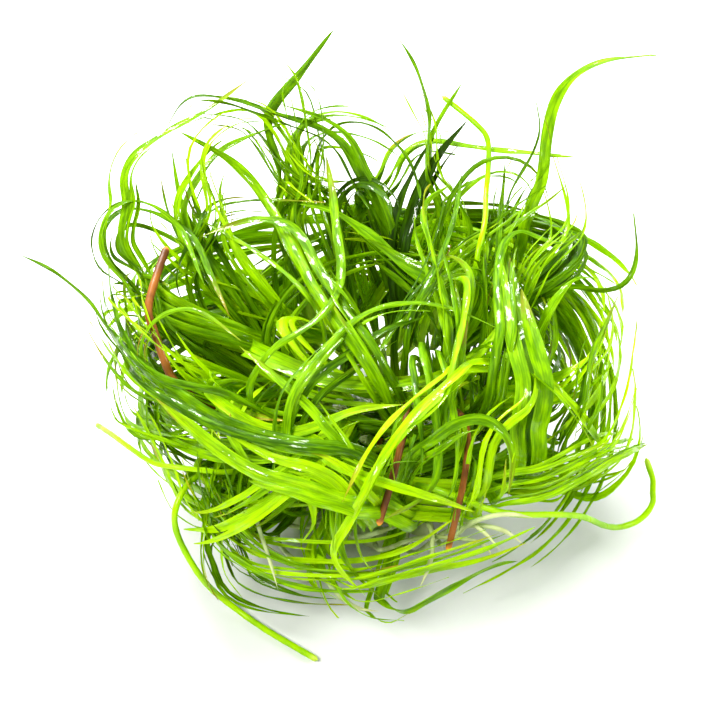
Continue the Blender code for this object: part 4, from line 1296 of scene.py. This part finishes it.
@dataclass
class LongLeaves(Assembly):
    """The long leaves that wrap the nest, one piece for each.

    Args:
        high: height above which a leaf's tip is seen against the light.
        backlit_shade_tones: least and greatest tone of a leaf with such a tip: a darker tone that paints the
            shade of a blade seen against the light.
        tones: the same for other leaves.
        tone_spread: how far a companion's tone may be from its leaf's.
    """

    high: float = 50 * MM
    backlit_shade_tones: Pair = (0.45, 0.85)
    tones: Pair = (0.05, 0.75)
    tone_spread: float = 0.2

    LONE_ENDINGS = ("_stray", "_spike", "_hook", "_yellow", "_curve", "_brown")

    def build(self) -> None:
        """Builds every long leaf, with the thinner leaves that run beside it."""
        for index, name in enumerate(self.nodes("leaf_")):
            rng = np.random.default_rng((SEED, index))
            leaf = CoarseNode(name).strands()[0].fine(self.blades.step)
            bundle = [leaf]
            if not name.endswith(self.LONE_ENDINGS):
                bundle += [companion_of(leaf, LONG_BUNDLE, rng) for _ in range(LONG_BUNDLE.companions)]
            # A leaf whose tip stands high gets a darker tone: painted shade for a blade seen against the
            # light.
            tones = self.backlit_shade_tones if leaf.centres[-1, 2] > self.high else self.tones
            tone = float(rng.uniform(*tones))
            looks = [look_near(tone, self.tone_spread, rng) for _ in bundle]
            looks[0].tone = tone
            leaves = [pointed(blade, self.blades) for blade in bundle]
            self.add(name, "_blade", leaves, looks, BLADE_SECTION, self.slots[name])


@dataclass
class Rosettes(Assembly):
    """The crowns with their tufts of short leaves.

    Args:
        tones: least and greatest tone of a short leaf.
        tone_spread: how far a companion's tone may be from its leaf's.
        rings: points along a crown's heart.
        inset: how far its ends lie inside the crown's.
        girth: its half width at the foot, as a share of the crown's.
        bulge: how much that grows above the foot.
        belly: how much of the bulge's rise and fall lies below the top.
        bluntness: how soon the heart narrows to its top, as for a blade.
        point: its least half width, as a share.
    """

    tones: Pair = (0.0, 0.9)
    tone_spread: float = 0.25
    rings: int = 12
    inset: float = 0.1 * MM
    girth: float = 0.5
    bulge: float = 0.3
    belly: float = 0.8
    bluntness: float = 0.8
    point: float = 0.04

    def heart(self, body: np.ndarray) -> Strand:
        """Reads a crown's body as an upright, pointed stem.

        Args:
            body: its corner points.

        Returns:
            The stem, from its foot to its top.
        """
        core = body.mean(axis=0)
        reach = np.linalg.norm(body[:, :2] - core[:2], axis=1).max()
        heights = np.linspace(body[:, 2].min() + self.inset, body[:, 2].max() - self.inset, self.rings)
        share = np.linspace(0, 1, self.rings)
        girth = self.girth + self.bulge * np.sin(share * math.pi * self.belly)
        halves = reach * girth * np.clip(1.0 - share, self.point, 1) ** self.bluntness
        middle, sides, ups = (np.tile(row, (self.rings, 1)) for row in (core[:2], (1.0, 0, 0), (0, 1.0, 0)))
        return Strand(np.column_stack((middle, heights)), sides, ups, halves, Form.STEM)

    def build(self) -> None:
        """Builds every crown and its tuft."""
        for index, name in enumerate(self.nodes("crown_")):
            rng = np.random.default_rng((SEED, CROWN_DRAWS + index))
            node = CoarseNode(name)
            strands, looks = [], []
            for coarse in node.strands():
                own = coarse.fine(self.blades.small_step)
                tone = float(rng.uniform(*self.tones))
                tuft = tuft_for(own)
                family = [own] + [companion_of(own, tuft, rng) for _ in range(tuft.companions)]
                strands += [pointed(leaf, self.blades) for leaf in family]
                looks += [look_near(tone, self.tone_spread, rng) for _ in family]
            self.add(name, "_tuft", strands, looks, SMALL_BLADE_SECTION, "leaf_bright")
            heart = self.heart(node.body())
            self.add(name, "_heart", [heart], [Look(tone=0.0, worn=0.0)], STEM_SECTION, "crown_pale")


@dataclass
class Stems(Assembly):
    """The runners, the stalks, and the stubs with the leaves round them.

    Args:
        step: spacing of points along a stem.
        joint: distance between its joints.
        swell: how much thicker it is at a joint.
        sharpness: how short a joint is: an even number, higher for a shorter one.
        rounding: length of the rounded end, as a share of the half width.
        least: least share of the rounding that is left at the end.
        sheath_tones: least and greatest tone of a leaf round a stub.
    """

    step: float = 0.6 * MM
    joint: float = 9 * MM
    swell: float = 0.07
    sharpness: int = 8
    rounding: float = 1.2
    least: float = 0.02
    sheath_tones: Pair = (0.2, 0.9)

    def blunted(self, strand: Strand) -> Strand:
        """Gives a stem a blunt, rounded end and faint joints.

        Args:
            strand: the fine stem.

        Returns:
            The same stem with its outline changed.
        """
        run = strand.run()
        body = np.median(strand.halves)
        joints = 1 + self.swell * np.sin(run / self.joint * math.tau) ** self.sharpness
        left = (run[-1] - run) / (self.rounding * body)
        strand.halves = body * joints * np.sqrt(np.clip(left, self.least, 1))
        return strand

    def build(self) -> None:
        """Builds every stem."""
        for name in self.nodes("runner_", "stalk_", "stub_"):
            stem = self.blunted(CoarseNode(name).strands()[0].fine(self.step))
            self.add(name, "_stem", [stem], [Look(tone=0.3, worn=0.0)], STEM_SECTION, self.slots[name])
            if name.startswith("stub_"):
                self.sheath(name)

    def sheath(self, name: str) -> None:
        """Builds the green leaves that grow round a brown stub and half hide it.

        Args:
            name: the stub's node.
        """
        rng = np.random.default_rng((SEED, SHEATH_DRAWS + len(name)))
        stub = CoarseNode(name).strands()[0].fine(self.blades.step)
        grown = [companion_of(stub, SHEATH_TUFT, rng) for _ in range(SHEATH_TUFT.companions)]
        leaves = [pointed(leaf, self.blades) for leaf in grown]
        looks = [Look(float(rng.uniform(*self.sheath_tones)), 0.0) for _ in leaves]
        self.add(name, "_sheath", leaves, looks, SMALL_BLADE_SECTION, "leaf_bright")


@dataclass
class RootMat(Assembly):
    """The felted roots that the nest rests on.

    Args:
        roots: how many roots wind through it.
        thinnest: the thinnest root's half width.
        thickest: the thickest root's half width.
        step: spacing of points along a root.
        free_step: the same along a root tip that sticks out.
        refine: how much closer its points lie once it is smooth.
        rim: how far out roots wind, as a share of the mat.
        inner: share of that area where roots start.
        points: least and greatest number of points of a root.
        turn: how far it turns at a point, either way.
        turn_back: how far its way back in strays from the middle, either way.
        drift: how far it rises or sinks at a point.
        taper: its half width at its ends, as a share, at most 1.
    """

    roots: int = 150
    thinnest: float = 0.16 * MM
    thickest: float = 0.34 * MM
    step: float = 1.5 * MM
    free_step: float = 1.0 * MM
    refine: float = 0.8
    rim: float = 0.96
    inner: float = 0.8
    points: tuple[int, int] = (10, 26)
    turn: float = 0.5
    turn_back: float = 0.9
    drift: float = 0.5 * MM
    taper: Pair = (1.15, 0.45)

    def wound(self, body: np.ndarray, rng: np.random.Generator) -> Strand:
        """Makes one root that winds through the mat.

        Args:
            body: the mat's corner points.
            rng: the random generator.

        Returns:
            The root.
        """
        centre = body.mean(axis=0)[:2]
        reach = np.linalg.norm(body[:, :2] - centre, axis=1).max() * self.rim
        top = body[:, 2].max()
        count = int(rng.integers(*self.points))
        angle = rng.uniform(0, math.tau)
        out = reach * math.sqrt(rng.uniform(0, self.inner))
        place = centre + np.array((math.cos(angle), math.sin(angle))) * out
        heading = rng.uniform(0, math.tau)
        half = rng.uniform(self.thinnest, self.thickest)
        height = rng.uniform(half, top - half)
        points = []
        for _ in range(count):
            points.append((place[0], place[1], height))
            heading += rng.uniform(-self.turn, self.turn)
            step = np.array((math.cos(heading), math.sin(heading))) * self.step
            if np.linalg.norm(place + step - centre) > reach:
                inward = centre - place
                heading = math.atan2(inward[1], inward[0]) + rng.uniform(-self.turn_back, self.turn_back)
                step = np.array((math.cos(heading), math.sin(heading))) * self.step
            place = place + step
            height = float(np.clip(height + rng.uniform(-self.drift, self.drift), half, top - half))
        points = np.array(points)
        heads = unit(np.gradient(points, axis=0))
        sides = unit(np.cross(heads, (0, 0, 1)))
        halves = half * np.clip(np.linspace(*self.taper, count), 0, 1)
        return Strand(points, sides, np.cross(sides, heads), halves, Form.STEM).fine(self.step * self.refine)

    def build(self) -> None:
        """Builds the mat and its free roots."""
        rng = np.random.default_rng((SEED, MAT_DRAWS))
        node = CoarseNode("root_mat")
        free = [strand.fine(self.free_step) for strand in node.strands()]
        roots = free + [self.wound(node.body(), rng) for _ in range(self.roots)]
        looks = [Look(float(rng.uniform(0, 1)), 0.0) for _ in roots]
        self.add("root_mat", "_felt", roots, looks, ROOT_SECTION, "root_pale")


@dataclass(frozen=True)
class Lamp:
    """A soft box.

    Args:
        name: its name.
        place: where it stands.
        aim: what it points at.
        size: its side length.
        watts: its power.
        colour: its light's colour.
    """

    name: str
    place: Triple
    aim: Triple
    size: float
    watts: float
    colour: Triple


LAMPS = (
    Lamp("back_box", (-0.25, 0.75, 0.75), (0.0, 0.0, 0.03), 0.5, 32.0, (1.0, 1.0, 0.98)),
    Lamp("front_box", (-0.45, -0.55, 0.75), (0.0, 0.0, 0.02), 0.30, 14.0, (1.0, 0.99, 0.97)),
    Lamp("right_box", (0.75, -0.1, 0.5), (0.0, 0.0, 0.03), 0.30, 8.0, (1.0, 1.0, 1.0)),
)


@dataclass(frozen=True)
class Studio:
    """The white floor, the soft boxes and the camera.

    Args:
        aim: the point that the camera looks at.
        eye: the camera's place.
        lens: the focal length in millimetres.
        sensor: the sensor's width in millimetres.
        half: the floor's half size.
        shade: the floor's colour.
        roughness: the floor's roughness.
        sky: the strength of the white surroundings.
    """

    aim: Triple = (-0.0026, 0.0, 0.032)
    eye: Triple = (-0.0026, -0.3546, 0.309)
    lens: float = 120.0
    sensor: float = 36.0
    half: float = 3.0
    shade: Triple = (0.68, 0.69, 0.68)
    roughness: float = 0.7
    sky: float = 0.26

    def floor(self) -> None:
        """Lays the pale floor."""
        mesh = bpy.data.meshes.new("floor")
        corners = [(x * self.half, y * self.half, 0) for x, y in ((-1, -1), (1, -1), (1, 1), (-1, 1))]
        mesh.from_pydata(corners, [], [(0, 1, 2, 3)])
        material = bpy.data.materials.new("white_floor")
        material.use_nodes = True
        shader = material.node_tree.nodes["Principled BSDF"]
        shader.inputs["Base Color"].default_value = (*self.shade, 1)
        shader.inputs["Roughness"].default_value = self.roughness
        mesh.materials.append(material)
        floor = placed("floor", mesh)

    def surroundings(self) -> None:
        """Sets the white surroundings and the plain view transform."""
        world = bpy.data.worlds.new("white_room")
        world.use_nodes = True
        background = world.node_tree.nodes["Background"]
        background.inputs["Color"].default_value = (1, 1, 1, 1)
        background.inputs["Strength"].default_value = self.sky
        bpy.context.scene.world = world
        bpy.context.scene.view_settings.view_transform = "Standard"
        bpy.context.scene.view_settings.look = "None"

    @staticmethod
    def aimed(name: str, data: bpy.types.ID, place: Triple, aim: Triple) -> bpy.types.Object:
        """Makes a lamp or camera that looks at a point.

        Args:
            name: its name.
            data: its data.
            place: where it stands.
            aim: the point.

        Returns:
            The object.
        """
        made = placed(name, data)
        made.location = place
        made.rotation_euler = (Vector(aim) - Vector(place)).to_track_quat("-Z", "Y").to_euler()
        return made

    def lamp(self, lamp: Lamp) -> None:
        """Hangs one soft box.

        Args:
            lamp: the soft box.
        """
        light = bpy.data.lights.new(lamp.name, "AREA")
        light.shape = "SQUARE"
        light.size = lamp.size
        light.energy = lamp.watts
        light.color = lamp.colour
        self.aimed(lamp.name, light, lamp.place, lamp.aim)

    def camera(self) -> None:
        """Sets the camera at the photograph's angle."""
        camera = bpy.data.cameras.new("camera")
        camera.lens = self.lens
        camera.sensor_width = self.sensor
        bpy.context.scene.camera = self.aimed("camera", camera, self.eye, self.aim)

    def build(self) -> None:
        """Sets up the whole studio."""
        self.floor()
        self.surroundings()
        for lamp in LAMPS:
            self.lamp(lamp)
        self.camera()


def main() -> None:
    """Builds the nest's looks and the studio."""
    logging.basicConfig(level=logging.INFO, format="%(name)s %(message)s")
    slots = {entry["node"]: entry["material_slot"] for entry in frame["record"]["subparts"]}
    finishes = Finishes()
    sweeper = Sweeper(*SIZE_AT_LOAD)
    for kind in (LongLeaves, Rosettes, Stems, RootMat):
        kind(sweeper, finishes, slots, BladeSizes()).build()
    Studio().build()


if __name__ == "__main__":
    main()
